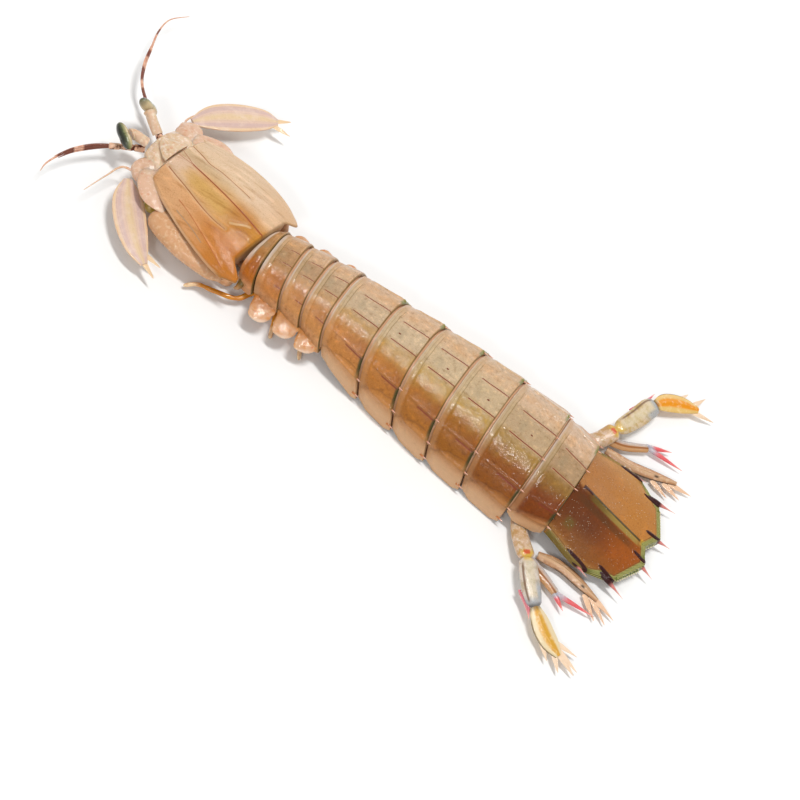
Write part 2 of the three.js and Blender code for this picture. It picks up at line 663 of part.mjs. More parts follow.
// Antennules: a jointed stem and three flagella that lie close over one another
const ANTENNULES = {
  L: {
    stem: [[HEAD_END + 0.5, 2.6, 5.9], [39.4, 5.2, 5.4], [42.6, 9.2, 5.2]],
    flagella: [
      [[42.4, 8.9, 5.2], [44.7, 13.1, 5.3], [46.8, 19.0, 5.2], [47.3, 24.8, 4.8], [46.6, 27.2, 4.4]],
      [[42.9, 8.9, 5.3], [45.2, 13.0, 6.3], [47.2, 18.6, 6.4], [47.8, 23.2, 6.2]],
      [[42.2, 9.0, 5.1], [44.4, 13.2, 4.3], [46.3, 18.2, 4.1], [46.6, 21.0, 4.0]],
    ],
  },
  R: {
    stem: [[HEAD_END + 0.6, -2.6, 6.0], [41.6, -5.4, 4.9], [47.0, -7.5, 5.0]],
    flagella: [
      [[46.6, -7.3, 5.0], [51.1, -9.8, 5.4], [54.5, -13.2, 5.8], [57.5, -18.4, 6.0], [60.5, -23.9, 6.0],
        [61.7, -29.0, 5.6], [60.0, -34.6, 5.0]],
      [[46.8, -7.2, 5.1], [51.3, -9.5, 6.4], [54.8, -12.8, 6.9], [56.6, -15.6, 7.0]],
      [[46.6, -7.6, 4.9], [50.9, -10.0, 4.4], [54.0, -13.6, 4.7], [55.4, -16.2, 4.8]],
    ],
  },
};
const STEM = { wide: [0.95, 0.9, 0.8, 0.85], high: [0.85, 0.8, 0.75, 0.8] };
const FLAGELLUM = { wide: [0.5, 0.45, 0.4, 0.28], high: [0.42, 0.4, 0.36, 0.26] };
for (const [tag, { stem, flagella }] of Object.entries(ANTENNULES)) {
  const pieces = [limb(path(stem, 3), STEM.wide, STEM.high, 6)];
  for (const route of flagella) {
    pieces.push(limb(path(route, route.length + 4), FLAGELLUM.wide, FLAGELLUM.high, 5));
  }
  addNode(`antennule_${tag}`, join(pieces), FLAGELLUM_BROWN, head);
}

// Antennae: a stout base beside the head that carries a thin flagellum
const ANTENNAE = {
  L: {
    base: [[31.3, 6.15, 6.9], [31.9, 8.2, 6.5], [32.3, 10.35, 5.5]],
    flagellum: [[32.9, 9.0, 6.0], [35.8, 11.0, 6.4], [36.3, 15.6, 6.0], [36.6, 22.5, 5.2]],
  },
  R: {
    base: [[32.2, -7.8, 6.8], [34.0, -10.0, 6.4], [35.8, -12.35, 5.45]],
    flagellum: [[35.6, -11.0, 5.4], [37.8, -13.0, 3.8], [37.6, -17.6, 3.2], [35.6, -24.0, 2.6]],
  },
};
const ANTENNA_BASE = { wide: [2.3, 2.7, 2.4, 1.6], high: [1.2, 1.5, 1.4, 1.0] };
for (const [tag, { base, flagellum }] of Object.entries(ANTENNAE)) {
  addNode(`antenna_${tag}`, join([
    limb(path(base, 4), ANTENNA_BASE.wide, ANTENNA_BASE.high, 10),
    limb(path(flagellum, 7), [0.5, 0.4, 0.3], [0.45, 0.36, 0.28], 5),
  ]), SHELL_PALE, head);
}

// Antennal scales: broad leaves swept back on each side
const SCALES = {
  L: [[32.9, 11.4, 4.9], [29.4, 14.6, 4.8], [23.8, 18.6, 4.6], [18.4, 21.6, 4.3], [13.6, 23.4, 4.0]],
  R: [[36.2, -13.4, 4.9], [34.2, -18.9, 4.8], [30.6, -24.8, 4.6], [26.8, -30.0, 4.3], [24.4, -32.6, 4.0]],
};
const SCALE_HALF = [1.1, 2.7, 3.7, 4.0, 3.8, 3.2, 2.3, 0.9];
const SCALE_BRISTLES = {
  L: { starts: [[14.6, 23.0, 4.05], [15.6, 21.4, 4.1]], tips: [[9.4, 23.9, 3.7], [10.6, 20.6, 3.8]] },
  R: { starts: [[25.3, -31.8, 4.05], [24.0, -31.0, 4.1]], tips: [[22.6, -36.0, 3.7], [19.6, -32.6, 3.8]] },
};
for (const [tag, route] of Object.entries(SCALES)) {
  const { starts, tips } = SCALE_BRISTLES[tag];
  const blade = leaf(path(route, 9), SCALE_HALF, SCALE_HALF, [0.5, 0.45, 0.3]);
  addNode(`antennal_scale_${tag}`, join([blade, ...fringe(starts, tips, 0.4)]), SCALE_LILAC, head);
}

// Raptorial claws, folded under the sides of the carapace
const mirror = (points, side) => points.map(([u, v, z]) => [u, v * side, z]);
const MERUS = {
  route: [
    [-0.6, 11.3, 5.4], [2.0, 11.7, 5.9], [6.5, 12.2, 6.2], [11.5, 12.7, 6.3], [16.5, 12.8, 6.2],
    [20.2, 12.5, 5.8], [22.1, 12.1, 5.3],
  ],
  wide: [0.9, 2.7, 3.6, 4.1, 4.1, 3.5, 2.0],
  high: [0.8, 2.0, 2.6, 2.8, 2.8, 2.5, 1.5],
};
const CARPUS = {
  route: following(MERUS.route, [[24.9, 10.7, 4.0], [25.5, 9.2, 3.1]], 0.65),
  wide: [1.7, 1.9, 1.4],
  high: [1.4, 1.6, 1.2],
};
const PROPODUS = {
  route: [[23.8, 8.4], [20, 8.2], [14, 8.0], [7, 7.9], [1, 7.8], [-2.0, 7.7]],
  wide: [1.5, 2.4, 2.9, 2.9, 2.4, 1.4], high: 1.6,
};
// The last piece of the claw, with its teeth: share of its length at the first, and step to the next
const DACTYL = {
  route: [[-3.0, 5.75], [-1.6, 2.6], [4, 1.75], [11, 1.6], [17, 1.9], [20.5, 3.0]],
  wide: [1.1, 1.0, 0.95, 0.85, 0.7, 0.15], high: [1.1, 1.0, 0.9, 0.8, 0.6, 0.15],
  height: 1.5, steps: 12, teeth: 5, firstTooth: 0.36, toothStep: 0.12, tooth: 2.1,
};
function buildDactyl(side) {
  const centres = path(mirror(DACTYL.route.map(([u, v]) => [u, v, DACTYL.height]), side), DACTYL.steps);
  const pieces = [limb(centres, DACTYL.wide, DACTYL.high, 6)];
  for (let i = 0; i < DACTYL.teeth; i += 1) {
    const t = DACTYL.firstTooth + DACTYL.toothStep * i;
    const at = centres[Math.round(t * DACTYL.steps)];
    const reach = DACTYL.tooth * (0.75 + 0.25 * t);
    const tip = at.clone().add(vec(1.2, side * (0.75 + reach), 0));
    pieces.push(spine(at.clone().add(vec(0, side * 0.2, 0)), tip, 0.6, 4));
  }
  return join(pieces);
}
const clawPiece = ({ route, wide, high }, steps, sides) => (side) => (
  limb(path(mirror(route, side), steps), wide, high, sides)
);
addPair('claw_merus', clawPiece(MERUS, 9, 12), CLAW_TAN, head);
addPair('claw_carpus', clawPiece(CARPUS, 5, 10), LEG_ORANGE, head);
addPair('claw_propodus', (side) => {
  const height = PROPODUS.high * Math.cos(Math.PI / 8);
  const route = mirror(PROPODUS.route.map(([u, v]) => [u, v, height]), side);
  return limb(path(route, 8), PROPODUS.wide, [PROPODUS.high], 8);
}, CLAW_TAN, head);
addPair('claw_dactyl', buildDactyl, CLAW_TAN, head);

// Maxillipeds: three slender limbs on each side, each ending in a small round hand
const MOUTH_LIMBS = {
  count: 3, first: 4.2, step: 4.6, rail: [[3, 4.4, 6.0], [15.5, 4.4, 6.0]], thick: 0.45,
  hand: [6.2, 3.9, 4.6], handHalf: [1.7, 1.4, 0.5],
};
function buildMaxillipeds(side) {
  const rail = path(mirror(MOUTH_LIMBS.rail, side), 2);
  const pieces = [limb(rail, [0.6], [MOUTH_LIMBS.thick], 6)];
  for (let i = 0; i < MOUTH_LIMBS.count; i += 1) {
    const u = MOUTH_LIMBS.first + MOUTH_LIMBS.step * i;
    const [handAhead, handSide, height] = MOUTH_LIMBS.hand;
    const route = mirror([[u, 4.4, 5.9], [u + 2.4, 5.4, 5.0], [u + 5.6, 4.6, height]], side);
    pieces.push(limb(path(route, 3), [0.6, 0.6, 0.55], [MOUTH_LIMBS.thick], 5));
    const hand = vec(u + handAhead, side * handSide, height);
    pieces.push(ovoid(hand, ...MOUTH_LIMBS.handHalf, 6, 4));
  }
  return join(pieces);
}
addPair('maxillipeds', buildMaxillipeds, SHELL_PALE, head);

// Walking legs under thorax 6 to 8, each from the belly of its somite; the first pair reaches forwards
const LEG_LIMB = { side: 4.2, at: 0.48, wide: [0.85, 0.7, 0.6, 0.5], high: [0.7, 0.6, 0.5, 0.42] };
const BRANCH_LIMB = { steps: [[0, 0, 0], [1.6, 1.0, -0.9], [3.0, 3.6, -2.0]], wide: [0.4, 0.35, 0.3] };
const LEGS = {
  walking_leg_1: [[1.2, 7.8, 3.0], [3.2, 11.2, 2.4], [8.6, 13.4, 2.3], [12.6, 14.4, 1.8], [15.2, 16.6, 1.0]],
  walking_leg_2: [[0.4, 7.2, 3.0], [-0.6, 10.4, 2.0], [-2.4, 14.2, 0.55]],
  walking_leg_3: [[-0.4, 7.4, 3.0], [-1.8, 10.6, 2.0], [-4.2, 14.4, 0.55]],
};
const LEG_SOMITES = { walking_leg_1: 'thorax_6', walking_leg_2: 'thorax_7', walking_leg_3: 'thorax_8' };
for (const [name, route] of Object.entries(LEGS)) {
  const somite = somites[LEG_SOMITES[name]];
  const middle = stationOf(somite, 3);
  const origin = stationOf(somite, somite.length * LEG_LIMB.at);
  addPair(name, (side) => {
    const place = (points) => points.map(([x, y, z]) => [middle.x + x, middle.y + side * y, z]);
    const start = onStation(origin, side * LEG_LIMB.side, BELLY);
    start.z -= GAP + LEG_LIMB.high[0];
    const leg = limb(path([start.toArray(), ...place(route)], 8), LEG_LIMB.wide, LEG_LIMB.high, 6);
    const [x, y, z] = route[0];
    const branch = place(BRANCH_LIMB.steps.map(([a, b, c]) => [x + a, y + b, z + c]));
    const second = limb(path(branch, 3), BRANCH_LIMB.wide, [0.4, 0.3, 0.25], 5);
    return name === 'walking_leg_1' ? leg : join([leg, second]);
  }, LEG_ORANGE);
}

// Pleopods: two paddles on each side under abdomen 1 to 5; routes are back, side and height
const STEM_HIGH = 0.7;
const PLEOPOD = {
  at: 0.72, half: 16,
  stem: [[-1.4, 6.4, BELLY - GAP - STEM_HIGH], [1.2, 6.6, 3.2]],
  outer: [[0.4, 7.4, 3.2], [4.5, 8.8, 2.2], [9.4, 9.6, 1.1]], outerWide: [1.4, 2.6, 2.6, 1.0],
  inner: [[0.4, 5.4, 3.0], [4.5, 4.0, 2.0], [8.8, 3.4, 1.1]], innerWide: [1.2, 1.9, 1.8, 0.8],
  high: [0.5, 0.4, 0.35],
};
// Gill filaments on the outer branch
const GILLS = {
  starts: [[0.8, 8.2, 2.9], [1.9, 8.6, 2.9], [3.0, 9.0, 2.9]],
  tips: [[2.0, 10.6, 1.4], [3.1, 11.0, 1.4], [4.2, 11.4, 1.4]], radius: 0.35,
};
function buildPleopod(name, side) {
  const station = stationOf(somites[name], somites[name].length * PLEOPOD.at);
  const start = onStation(station, 0, BELLY);
  const wide = station.half / PLEOPOD.half;
  const place = (points) => points.map(([p, out, z]) => [start.x - p, start.y + side * out * wide, z]);
  const stem = limb(path(place(PLEOPOD.stem), 2), [1.5, 1.8], [STEM_HIGH, 0.6], 6);
  const outer = limb(path(place(PLEOPOD.outer), 4), PLEOPOD.outerWide, PLEOPOD.high, 6);
  const inner = limb(path(place(PLEOPOD.inner), 4), PLEOPOD.innerWide, PLEOPOD.high, 6);
  const gills = fringe(place(GILLS.starts), place(GILLS.tips), GILLS.radius);
  return join([stem, outer, inner, ...gills]);
}
for (let i = 1; i <= 5; i += 1) {
  addPair(`pleopod_${i}`, (side) => buildPleopod(`abdomen_${i}`, side), PLEOPOD_PALE);
}

// Uropods: base with a forked spine, outer branch of two pieces, and inner branch; back, side, height
const UROPODS = {
  L: {
    base: [[-6.4, 13.6, 1.7], [-3.7, 17.3, 2.2], [0.8, 22.3, 3.6]],
    fork: [[-1.0, 20.6, 2.0], [5.0, 21.8, 1.5], [11.4, 24.0, 1.6]],
    prongs: [[21.8, 22.6, 1.3], [14.8, 26.6, 1.5]],
    outer: [[4.9, 27.5, 3.6], [8.7, 31.4, 3.0]],
    paddle: [[14.2, 35.2, 2.4], [19.5, 37.3, 1.9]],
    inner: [[2.6, 18.4, 1.5], [9.0, 17.0, 1.3], [20.4, 18.4, 1.1]],
  },
  R: {
    base: [[-6.2, -13.5, 1.7], [-0.9, -17.8, 2.4], [1.7, -23.3, 3.7]],
    fork: [[-0.6, -20.0, 2.0], [5.0, -21.9, 1.5], [11.2, -26.0, 1.6]],
    prongs: [[21.3, -26.9, 1.3], [16.5, -29.4, 1.5]],
    outer: [[4.3, -30.2, 3.4], [5.5, -34.8, 3.1], [6.6, -37.3, 2.9]],
    paddle: [[8.6, -39.9, 2.7], [12.0, -42.4, 2.4], [16.3, -44.6, 1.9]],
    inner: [[2.48, -17.8, 1.5], [9.0, -18.4, 1.3], [21.6, -22.7, 1.1]],
  },
};
// Movable spines along the outer edge of each outer branch, and bristles round the other branches
const MOVABLE_SPINES = {
  L: { from: [3.4, 29.9], to: [7.3, 32.2], lean: [0.9, 1.3] },
  R: { from: [1.8, -31.2], to: [4.2, -37.0], lean: [0.3, -1.6] },
};
const MOVABLE = { count: 7, height: 2.9, radius: 0.4 };
const PADDLE_BRISTLES = {
  L: {
    starts: [[14.4, 37.2, 2.2], [18.4, 37.6, 1.9], [18.9, 36.6, 1.9], [18.6, 36.0, 1.9], [16.6, 35.0, 2.1]],
    tips: [[17.9, 40.1, 1.6], [21.7, 40.7, 1.3], [25.2, 38.8, 1.2], [25.6, 37.5, 1.2], [23.6, 34.2, 1.4]],
  },
  R: {
    starts: [[10.4, -42.4, 2.3], [14.4, -44.2, 1.9], [15.6, -43.2, 1.9]],
    tips: [[12.2, -47.2, 1.6], [16.6, -49.6, 1.3], [21.6, -45.0, 1.2]],
  },
};
const INNER_BRISTLES = {
  L: {
    starts: [[19.2, 18.2, 1.1], [19.0, 18.8, 1.1], [17.4, 19.4, 1.1]],
    tips: [[26.4, 20.0, 0.9], [25.2, 22.6, 0.9], [22.4, 23.4, 0.9]],
  },
  R: {
    starts: [[20.4, -21.6, 1.1], [19.2, -20.4, 1.1], [16.4, -19.0, 1.1]],
    tips: [[26.6, -22.6, 0.9], [24.6, -19.4, 0.9], [21.6, -17.6, 0.9]],
  },
};
const BRISTLE = 0.4;
// Half widths and half thicknesses of the pieces, along each
const BASE_LIMB = { wide: [1.9, 2.9, 3.0], high: [1.0, 1.2, 1.1] };
const FORK_LIMB = { wide: [1.5, 1.6, 1.3], high: [0.8, 0.6, 0.6] };
const PRONG_LIMB = { wide: [0.9, 0.7, 0.1], high: [0.55, 0.5, 0.1] };
const OUTER_LIMBS = {
  L: { wide: [2.9, 3.3, 2.9, 1.9], high: [0.9, 1.0, 1.0, 0.8] },
  R: { wide: [2.9, 3.4, 3.1, 2.3], high: [0.9, 1.0, 1.0, 0.8] },
};
// Gap along the middle line where two pieces meet at an angle
const ANGLED_GAP = 0.5;
const PADDLE_LEAF = { left: [1.3, 2.2, 2.2, 0.7], right: [1.3, 2.2, 2.0, 0.7] };
const INNER_LEAF = [1.2, 2.2, 2.4, 2.2, 0.8];
const LEAF_THICK = [0.5, 0.4];
const back = (points) => points.map(([p, y, z]) => [-p, y, z]);
function movableSpines({ from, to, lean }) {
  const list = Array.from({ length: MOVABLE.count }, (_, i) => i / (MOVABLE.count - 1));
  const starts = list.map((t) => [mix(from[0], to[0], t), mix(from[1], to[1], t), MOVABLE.height]);
  const tips = starts.map(([p, y, z], i) => {
    const reach = 0.8 + 1.1 * list[i] ** 3;
    return [p + lean[0] * reach, y + lean[1] * reach, z - 0.3];
  });
  return fringe(back(starts), back(tips), MOVABLE.radius);
}
function buildUropodBase({ base, fork, prongs }) {
  const pieces = [
    limb(path(back(base), 4), BASE_LIMB.wide, BASE_LIMB.high, 8),
    limb(path(back(fork), 4), FORK_LIMB.wide, FORK_LIMB.high, 6),
  ];
  const end = vec(...back(fork)[2]);
  const start = end.clone().add(vec(0.8, 0, 0));
  for (const prong of back(prongs)) {
    const tip = vec(...prong);
    const centres = [start, start.clone().lerp(tip, 0.5), tip];
    pieces.push(limb(centres, PRONG_LIMB.wide, PRONG_LIMB.high, 6, true));
  }
  return join(pieces);
}
for (const [tag, uropod] of Object.entries(UROPODS)) {
  addNode(`uropod_base_${tag}`, buildUropodBase(uropod), SHELL_PALE);
  const outerRoute = following(uropod.base, uropod.outer, ANGLED_GAP);
  const outer = limb(path(back(outerRoute), 6), OUTER_LIMBS[tag].wide, OUTER_LIMBS[tag].high, 10);
  addNode(`uropod_outer_${tag}`, join([outer, ...movableSpines(MOVABLE_SPINES[tag])]), UROPOD_CREAM);
  const bristles = ({ starts, tips }) => fringe(back(starts), back(tips), BRISTLE);
  const paddleCentres = path(back(following(outerRoute, uropod.paddle, ANGLED_GAP)), 6);
  const paddle = leaf(paddleCentres, PADDLE_LEAF.left, PADDLE_LEAF.right, LEAF_THICK);
  addNode(`uropod_paddle_${tag}`, join([paddle, ...bristles(PADDLE_BRISTLES[tag])]), UROPOD_YELLOW);
  const inner = leaf(path(back(uropod.inner), 7), INNER_LEAF, INNER_LEAF, LEAF_THICK);
  addNode(`uropod_inner_${tag}`, join([inner, ...bristles(INNER_BRISTLES[tag])]), UROPOD_CREAM);
}

// Origin in the middle of the bounding box, on the floor
body.updateMatrixWorld(true);
const bounds = new THREE.Box3().setFromObject(root, true);
const middle = bounds.getCenter(vec(0, 0, 0));
body.position.set(-middle.x, -middle.y, 0);

export default root;
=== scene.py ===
# Mantis shrimp, life size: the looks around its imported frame.
# Shapes are worked out in millimetres in two frames: the body's, with x ahead of the base of the
# telson and y to the left, and the head's, with u ahead of the rear of the carapace and v to the left.
import math

import bpy
import numpy as np
from mathutils import Matrix, Vector


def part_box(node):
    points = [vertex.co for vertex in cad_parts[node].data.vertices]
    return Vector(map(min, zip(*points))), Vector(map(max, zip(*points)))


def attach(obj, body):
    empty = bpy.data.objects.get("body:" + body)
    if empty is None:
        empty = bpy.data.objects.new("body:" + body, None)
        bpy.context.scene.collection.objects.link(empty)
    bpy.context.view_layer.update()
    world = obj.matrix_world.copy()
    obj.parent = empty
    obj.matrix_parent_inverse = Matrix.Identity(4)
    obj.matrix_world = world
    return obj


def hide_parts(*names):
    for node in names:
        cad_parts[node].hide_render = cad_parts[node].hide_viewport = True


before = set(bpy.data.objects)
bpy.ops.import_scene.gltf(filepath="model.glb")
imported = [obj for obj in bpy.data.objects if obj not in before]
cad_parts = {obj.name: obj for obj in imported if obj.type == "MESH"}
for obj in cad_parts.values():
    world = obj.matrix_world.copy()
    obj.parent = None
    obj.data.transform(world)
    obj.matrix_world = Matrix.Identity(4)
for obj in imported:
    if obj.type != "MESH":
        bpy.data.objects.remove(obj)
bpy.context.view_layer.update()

rng = np.random.default_rng(7)

# Sizes shared with the construction, in millimetres and degrees
MM = 0.001
LENGTHS = {
    "abdomen_6": 10.6, "abdomen_5": 14.6, "abdomen_4": 12.0, "abdomen_3": 11.5, "abdomen_2": 11.1,
    "abdomen_1": 12.0, "thorax_8": 6.8, "thorax_7": 6.4, "thorax_6": 6.6, "thorax_5": 3.2,
}
# Half width, height of the back, height of the lower edge and backward sweep at the rear of each
REARS = {
    "carapace": (9.2, 12.3, 4.6, 0.3), "thorax_5": (9.8, 12.6, 4.6, 0.32),
    "thorax_6": (10.3, 13.0, 4.6, 0.34), "thorax_7": (10.9, 13.4, 4.6, 0.36),
    "thorax_8": (12.2, 14.0, 3.6, 0.38), "abdomen_1": (13.9, 14.6, 0, 0.4),
    "abdomen_2": (15.2, 15.0, 0, 0.38), "abdomen_3": (16.4, 15.0, 0, 0.32),
    "abdomen_4": (16.9, 14.8, 0, 0.24), "abdomen_5": (17.3, 13.6, 0, 0.06),
    "abdomen_6": (14.8, 10.8, 3.4, 0),
}
HEADINGS = {"thorax_8": 2, "thorax_7": 4, "thorax_6": 5, "thorax_5": 0}
FRONT_PLANES = {"thorax_8": 3, "thorax_7": 5, "thorax_6": 2, "thorax_5": -9, "abdomen_1": 1}
HEAD_HEADING = math.radians(-12)
BELLY = 4.6
TELSON_FRONT = 0.3

low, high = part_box("telson")
BODY_AT = np.array([high.x / MM + TELSON_FRONT, (low.y + high.y) / 2 / MM, 0])


def mix(a, b, t):
    return a + (b - a) * t


def smooth(start, end, t):
    u = np.clip((np.asarray(t, float) - start) / (end - start), 0, 1)
    return u * u * (3 - 2 * u)


def bell(distance, half):
    """1 at no distance, falling off over about the half width"""
    return np.exp(-(np.asarray(distance, float) / half) ** 2)


def spread(values, t):
    """Value of a list of evenly spaced numbers at t from 0 to 1, on a smooth curve"""
    values = np.asarray(values, float)
    if len(values) == 1:
        return np.full(np.shape(t), values[0])
    padded = np.concatenate([[2 * values[0] - values[1]], values, [2 * values[-1] - values[-2]]])
    place = np.clip(t, 0, 1) * (len(values) - 1)
    i = np.minimum(place.astype(int), len(values) - 2)
    w = place - i
    a, b, c, d = (padded[i + k] for k in range(4))
    curve = b + 0.5 * w * (c - a + w * (2 * a - 5 * b + 4 * c - d + w * (3 * (b - c) + d - a)))
    return np.clip(curve, values.min(), values.max())


def smooth_path(points, count):
    """Smooth path through a few points, sampled evenly between them"""
    p = np.asarray(points, float)
    p = np.vstack([2 * p[0] - p[1], p, 2 * p[-1] - p[-2]])
    t = np.linspace(0, len(p) - 3, count)
    i = np.minimum(t.astype(int), len(p) - 4)
    w = (t - i)[:, None]
    a, b, c, d = (p[i + k] for k in range(4))
    before, here, after = (
        np.linalg.norm(q - r, axis=1)[:, None] ** 0.5 for q, r in ((b, a), (c, b), (d, c))
    )
    start = ((b - a) / before - (c - a) / (before + here) + (c - b) / here) * here
    end = ((c - b) / here - (d - b) / (here + after) + (d - c) / after) * here
    return b + w * (start + w * (3 * (c - b) - 2 * start - end + w * (2 * (b - c) + start + end)))


def to_line(x, y, route):
    """Distance of points from a bent line, and how far along the line the nearest place is, 0 to 1"""
    route = np.asarray(route, float)
    steps = np.linalg.norm(np.diff(route, axis=0), axis=1)
    reached = np.concatenate([[0], np.cumsum(steps)]) / steps.sum()
    best = np.full(np.shape(x), 1e9)
    along = np.zeros(np.shape(x))
    for (ax, ay), (bx, by), r0, r1 in zip(route, route[1:], reached, reached[1:]):
        dx, dy = bx - ax, by - ay
        t = np.clip(((x - ax) * dx + (y - ay) * dy) / (dx * dx + dy * dy), 0, 1)
        gap = np.hypot(x - ax - t * dx, y - ay - t * dy)
        along = np.where(gap < best, mix(r0, r1, t), along)
        best = np.minimum(best, gap)
    return best, along


def following(before, route, gap=0.3):
    """Route of a piece that follows another: it starts beyond the end of the other's route by a gap"""
    end = np.array(before[-1], float)
    heading = np.array(route[0], float) - end
    return [tuple(end + heading * gap / np.linalg.norm(heading)), *route]


class Shape:
    """Points, faces and point fields of one piece, gathered one closed surface at a time"""

    def __init__(self):
        self.points = []
        self.faces = []
        self.fields = []
        self.count = 0

    def add(self, points, faces, fields):
        volume = 0
        for f in faces:
            for k in range(1, f.shape[1] - 1):
                a, b, c = points[f[:, 0]], points[f[:, k]], points[f[:, k + 1]]
                volume += np.einsum("ij,ij->", a, np.cross(b, c))
        self.faces += [(f if volume > 0 else f[:, ::-1]) + self.count for f in faces]
        self.points.append(points)
        self.fields.append((len(points), fields))
        self.count += len(points)

    def field_names(self):
        return sorted({name for _, fields in self.fields for name in fields})

    def field(self, name):
        return np.concatenate([
            np.broadcast_to(np.asarray(fields.get(name, 0.0), float), (count,))
            for count, fields in self.fields
        ])


def grid_faces(rows, columns, around=False):
    i = np.arange(rows - 1)[:, None]
    j = np.arange(columns if around else columns - 1)[None, :]
    k = (j + 1) % columns
    corners = (i * columns + j, i * columns + k, (i + 1) * columns + k, (i + 1) * columns + j)
    return np.stack(corners, -1).reshape(-1, 4)


def loft(shape, rings, **fields):
    """Closed surface through rings of equally many points; a field has a value for each ring point"""
    rings = np.asarray(rings, float)
    m, n, _ = rings.shape
    points = np.vstack([rings.reshape(-1, 3), rings[0].mean(0), rings[-1].mean(0)])
    j = np.arange(n)
    k = (j + 1) % n
    first = np.stack([k, j, np.full(n, m * n)], -1)
    last = np.stack([(m - 1) * n + j, (m - 1) * n + k, np.full(n, m * n + 1)], -1)
    spread_fields = {}
    for name, value in fields.items():
        value = np.broadcast_to(np.asarray(value, float), (m, n))
        spread_fields[name] = np.concatenate([value.ravel(), [value[0].mean(), value[-1].mean()]])
    shape.add(points, [grid_faces(m, n, around=True), first, last], spread_fields)


def slab(shape, top, bottom, **fields):
    """Closed surface between two sheets of points with the same rows and columns"""
    m, n, _ = top.shape
    points = np.vstack([top.reshape(-1, 3), bottom.reshape(-1, 3)])
    rim = np.concatenate([
        np.arange(n), np.arange(1, m) * n + n - 1, (m - 1) * n + np.arange(n - 2, -1, -1),
        np.arange(m - 2, 0, -1) * n,
    ])
    after = np.roll(rim, -1)
    wall = np.stack([after, rim, rim + m * n, after + m * n], -1)
    upper = grid_faces(m, n)
    under = upper[:, ::-1] + m * n
    both = {name: np.tile(np.broadcast_to(value, (m, n)).ravel(), 2) for name, value in fields.items()}
    both["under"] = np.repeat([0.0, 1.0], m * n)
    shape.add(points, [upper, under, wall], both)


def frames_along(centres):
    ahead = np.vstack([centres[1:], centres[-1:]])
    behind = np.vstack([centres[:1], centres[:-1]])
    heading = ahead - behind
    heading /= np.linalg.norm(heading, axis=1)[:, None]
    side = np.cross([0.0, 0.0, 1.0], heading)
    side /= np.maximum(np.linalg.norm(side, axis=1), 1e-6)[:, None]
    return side, np.cross(heading, side)


def round_off(t, start, end):
    """Factor that rounds a section off over its first and last parts"""
    a = np.clip(1 - t / start, 0, 1) if start else 0 * t
    b = np.clip(1 - (1 - t) / end, 0, 1) if end else 0 * t
    return np.sqrt(np.maximum(1 - a ** 2, 0.0004)) * np.sqrt(np.maximum(1 - b ** 2, 0.0004))


def tube(shape, route, wide, high, sides=20, steps=40, ends=(0.05, 0.05), section=None, swell=None,
         **fields):
    """Limb along a route, of oval section; section gives a factor for each turn, swell one along it"""
    centres = smooth_path(route, steps)
    side, up = frames_along(centres)
    t = np.linspace(0, 1, steps)
    factor = round_off(t, *ends)
    if swell is not None:
        factor = factor * swell(t)
    turn = np.linspace(0, 2 * np.pi, sides, endpoint=False)
    ring = np.ones((steps, sides)) if section is None else section(t[:, None], turn[None, :])
    w = spread(wide, t) * factor
    h = spread(high, t) * factor
    rings = (centres[:, None] + side[:, None] * (ring * np.cos(turn) * w[:, None])[..., None]
             + up[:, None] * (ring * np.sin(turn) * h[:, None])[..., None])
    distance = np.concatenate([[0], np.cumsum(np.linalg.norm(np.diff(centres, axis=0), axis=1))])
    loft(shape, rings, along=t[:, None], distance=distance[:, None], turn=turn[None, :] / (2 * np.pi),
         **fields)
    return centres


def spike(shape, root, tip, radius, sides=12, steps=8, bend=(0, 0, 0), **fields):
    """Sharp cone from a sunk root to its tip"""
    root = np.asarray(root, float)
    tip = np.asarray(tip, float)
    middle = (root + tip) / 2 + np.asarray(bend, float)
    thick = [radius * part for part in (1, 0.96, 0.86, 0.7, 0.5, 0.28, 0.03)]
    tube(shape, [root, middle, tip], thick, thick, sides, steps, (0, 0), **fields)


def blade(shape, route, left, right, thick, steps=60, across=25, ridge=0.2, droop=0.0, **fields):
    """Thin leaf along a route, thickest at its middle line, with round edges"""
    centres = smooth_path(route, steps)
    side, up = frames_along(centres)
    t = np.linspace(0, 1, steps)
    c = np.sin(np.linspace(-np.pi / 2, np.pi / 2, across))
    reach = np.where(c[None, :] > 0, spread(left, t)[:, None], spread(right, t)[:, None]) * c[None, :]
    body = spread(thick, t)[:, None] * np.sqrt(np.maximum(1 - c ** 2, 0.0))[None, :]
    lift = body * 0.8 + ridge * bell(reach, 0.35) - droop * c[None, :] ** 2
    under = 0.4 * body + 0.12 + droop * c ** 2
    upper = centres[:, None] + side[:, None] * reach[..., None] + up[:, None] * (lift + 0.12)[..., None]
    lower = centres[:, None] + side[:, None] * reach[..., None] - up[:, None] * under[..., None]
    rings = np.concatenate([upper, lower[:, ::-1]], 1)
    loft(shape, rings, along=t[:, None], across=np.concatenate([c, c[::-1]])[None, :],
         under=np.concatenate([0 * c, 0 * c + 1])[None, :], **fields)
    return centres


